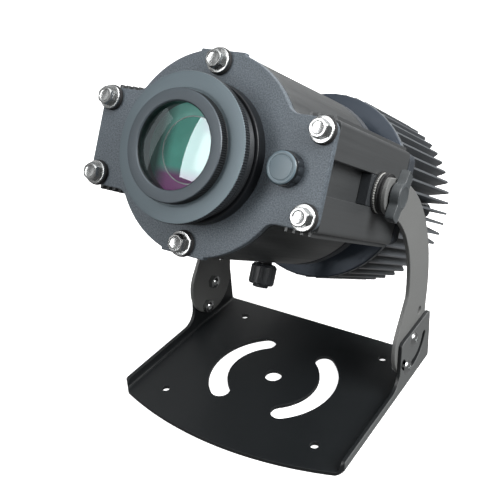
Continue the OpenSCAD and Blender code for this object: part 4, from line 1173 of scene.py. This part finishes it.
@dataclass
class HandScrew(Assembly):
    """The fluted hand screw under the barrel and its bush."""

    body: str = "hand_screw"
    back: float = 102.0
    r: float = 9.0

    def build(self) -> None:
        """An eight-fluted knob with a hub, and the bush that it screws into."""
        f = Finishes
        spot = Station(HEAD.at(0, 0, -self.back).origin, HEAD.across, HEAD.along, tuple(-v for v in HEAD.up))
        columns = 8 * 24
        flute = np.clip(np.cos(8 * angles(columns)) * 1.5 + 1.0, 0, 1)
        profile = rounded(
            [(0, 63.1), (7.4, 63.1), (self.r, 64.9), (self.r, 76.4), (8.2, 77.6), (5.5, 77.6), (5.5, 79.7),
             (0, 79.7)],
            [0, 0.5, 0.6, 0.6, 0.3, 0.3, 0.5, 0], 5,
        )
        r, z = profile[:, :1], profile[:, 1:]
        cut = ((r > 7) & (z > 63.5) & (z < 77.5)).astype(float)
        knob = polar(r - 0.9 * cut * (1 - flute), z, columns)
        self.skin("hand_screw_fluted", [(knob, spot)], f.plastic, ["hand_screw_knob"])
        wave = np.linspace(49, 61, 97)
        thread = np.stack([2.5 - 0.3 * np.abs(2 * np.mod(wave, 1) - 1), wave], -1)
        screw = np.vstack([[(0, 47.1), (1.8, 47.1), (2.3, 47.8)], thread, [(2.5, 61.2), (2.5, 75), (0, 75)]])
        self.skin("hand_screw_thread", [(turned(screw, 48), spot)], f.steel, ["hand_screw"])
        bush = turned(ring_profile(4.95, 2.55, 48.6, 63, 0.3), 72, True)
        self.skin("hand_screw_bush_turned", [(bush, spot)], f.collar, ["hand_screw_bush"], "head")


# Studio

@dataclass(frozen=True)
class SoftBox:
    """A rectangular soft light that looks at a point, all in metres."""

    name: str
    place: Triple
    size: tuple[float, float]
    power: float
    aim: Triple = (0.0, 0.0, 0.13)

    def build(self) -> None:
        """Makes the light."""
        data = bpy.data.lights.new(self.name, "AREA")
        data.shape = "RECTANGLE"
        data.size, data.size_y = self.size
        data.energy = self.power
        lamp = bpy.data.objects.new(self.name, data)
        lamp.location = self.place
        lamp.rotation_euler = (Vector(self.aim) - Vector(self.place)).to_track_quat("-Z", "Y").to_euler()
        bpy.context.scene.collection.objects.link(lamp)


@dataclass
class Studio:
    """White floor and surroundings, soft boxes, and the camera at the photograph's angle."""

    azimuth: float = 34.868
    elevation: float = 28.9
    roll: float = -4.291
    focal: float = 56.33
    place: Triple = (0.265845, -0.398851, 0.377214)
    boxes: tuple[SoftBox, ...] = (
        SoftBox("top_box", (0.1, -0.1, 1.3), (1.4, 1.4), 9.5),
        SoftBox("right_box", (1.05, 0.1, 0.85), (0.8, 0.8), 26.0),
        SoftBox("front_box", (-0.42, -1.2, 0.9), (0.42, 0.9), 8.0),
        SoftBox("left_box", (-1.5, -0.95, 0.85), (0.35, 1.0), 0.8),
        SoftBox("back_box", (0.1, 1.3, 0.8), (1.2, 0.6), 9.0),
    )

    def camera(self) -> None:
        """Puts the camera in its place, turned by azimuth, elevation and roll."""
        a, e, roll = (math.radians(v) for v in (self.azimuth, self.elevation, self.roll))
        side = Vector((math.cos(a), math.sin(a), 0))
        ahead = Vector((-math.sin(a) * math.cos(e), math.cos(a) * math.cos(e), -math.sin(e)))
        above = side.cross(ahead)
        right = side * math.cos(roll) + above * math.sin(roll)
        top = above * math.cos(roll) - side * math.sin(roll)
        data = bpy.data.cameras.new("photo_camera")
        data.lens, data.sensor_width = self.focal, 36.0
        data.clip_start = 0.02
        camera = bpy.data.objects.new("photo_camera", data)
        turn = Matrix((right, top, -ahead)).transposed()
        camera.location, camera.rotation_euler = self.place, turn.to_euler()
        bpy.context.scene.collection.objects.link(camera)
        bpy.context.scene.camera = camera

    def floor(self) -> None:
        """A wide white sheet under the base that only the camera sees."""
        half, z = 6.0, -0.0004
        mesh = bpy.data.meshes.new("white_floor")
        corners = [(-half, -half, z), (half, -half, z), (half, half, z), (-half, half, z)]
        mesh.from_pydata(corners, [], [(0, 1, 2, 3)])
        floor = bpy.data.objects.new("white_floor", mesh)
        bpy.context.scene.collection.objects.link(floor)
        bench = Bench("floor_paper")
        where = bench.node("TexCoord", None, None, "Object")
        paper = bench.noise(where, 0.004, 2.0)
        colour = bench.mix(paper, (0.86, 0.86, 0.86), (0.9, 0.9, 0.9))
        inputs = {
            "Base Color": colour, "Roughness": 0.9,
            "Emission Color": (1.0, 1.0, 1.0, 1.0), "Emission Strength": 0.8,
        }
        mesh.materials.append(bench.close(bench.node("BsdfPrincipled", None, inputs)))
        floor.visible_diffuse = floor.visible_glossy = floor.visible_transmission = False

    def surroundings(self) -> None:
        """White for the camera; for the object, a room that is pale above and dim below."""
        world = bpy.data.worlds.new("studio")
        bpy.context.scene.world = world
        bench = Bench(world=world)
        height = bench.node("SeparateXYZ", None, {0: bench.node("TexCoord", None, None, "Generated")}, "Z")
        level = bench.ramp(height * 0.5 + 0.5, (0.0, 0.26), (0.5, 0.18), (0.75, 0.26), (1.0, 0.45))
        seen = bench.node("LightPath", None, None, "Is Camera Ray")
        colour = bench.mix(seen, level, (1.0, 1.0, 1.0))
        background = bench.node("Background", None, {"Color": colour, "Strength": 1.0})
        output = bench.tree.nodes.new("ShaderNodeOutputWorld")
        bench.tree.links.new(background.socket, output.inputs["Surface"])

    def build(self) -> None:
        """Builds the whole studio."""
        scene = bpy.context.scene
        scene.view_settings.view_transform = "Standard"
        self.camera()
        self.floor()
        self.surroundings()
        for box in self.boxes:
            box.build()


def main() -> None:
    """Builds the studio and every assembly in order, and reports each piece."""
    logging.basicConfig(level=logging.INFO, format="%(message)s")
    Studio().build()
    assemblies = (
        Yoke(), HeadShell(), PlateFasteners(), VentPlug(), LensGroup(), RearEnd(), Optics(), TiltClamps(),
        HandScrew(),
    )
    for assembly in assemblies:
        assembly.build()
        log.info("%s: %d new pieces", type(assembly).__name__, len(assembly.made))


if __name__ == "__main__":
    main()
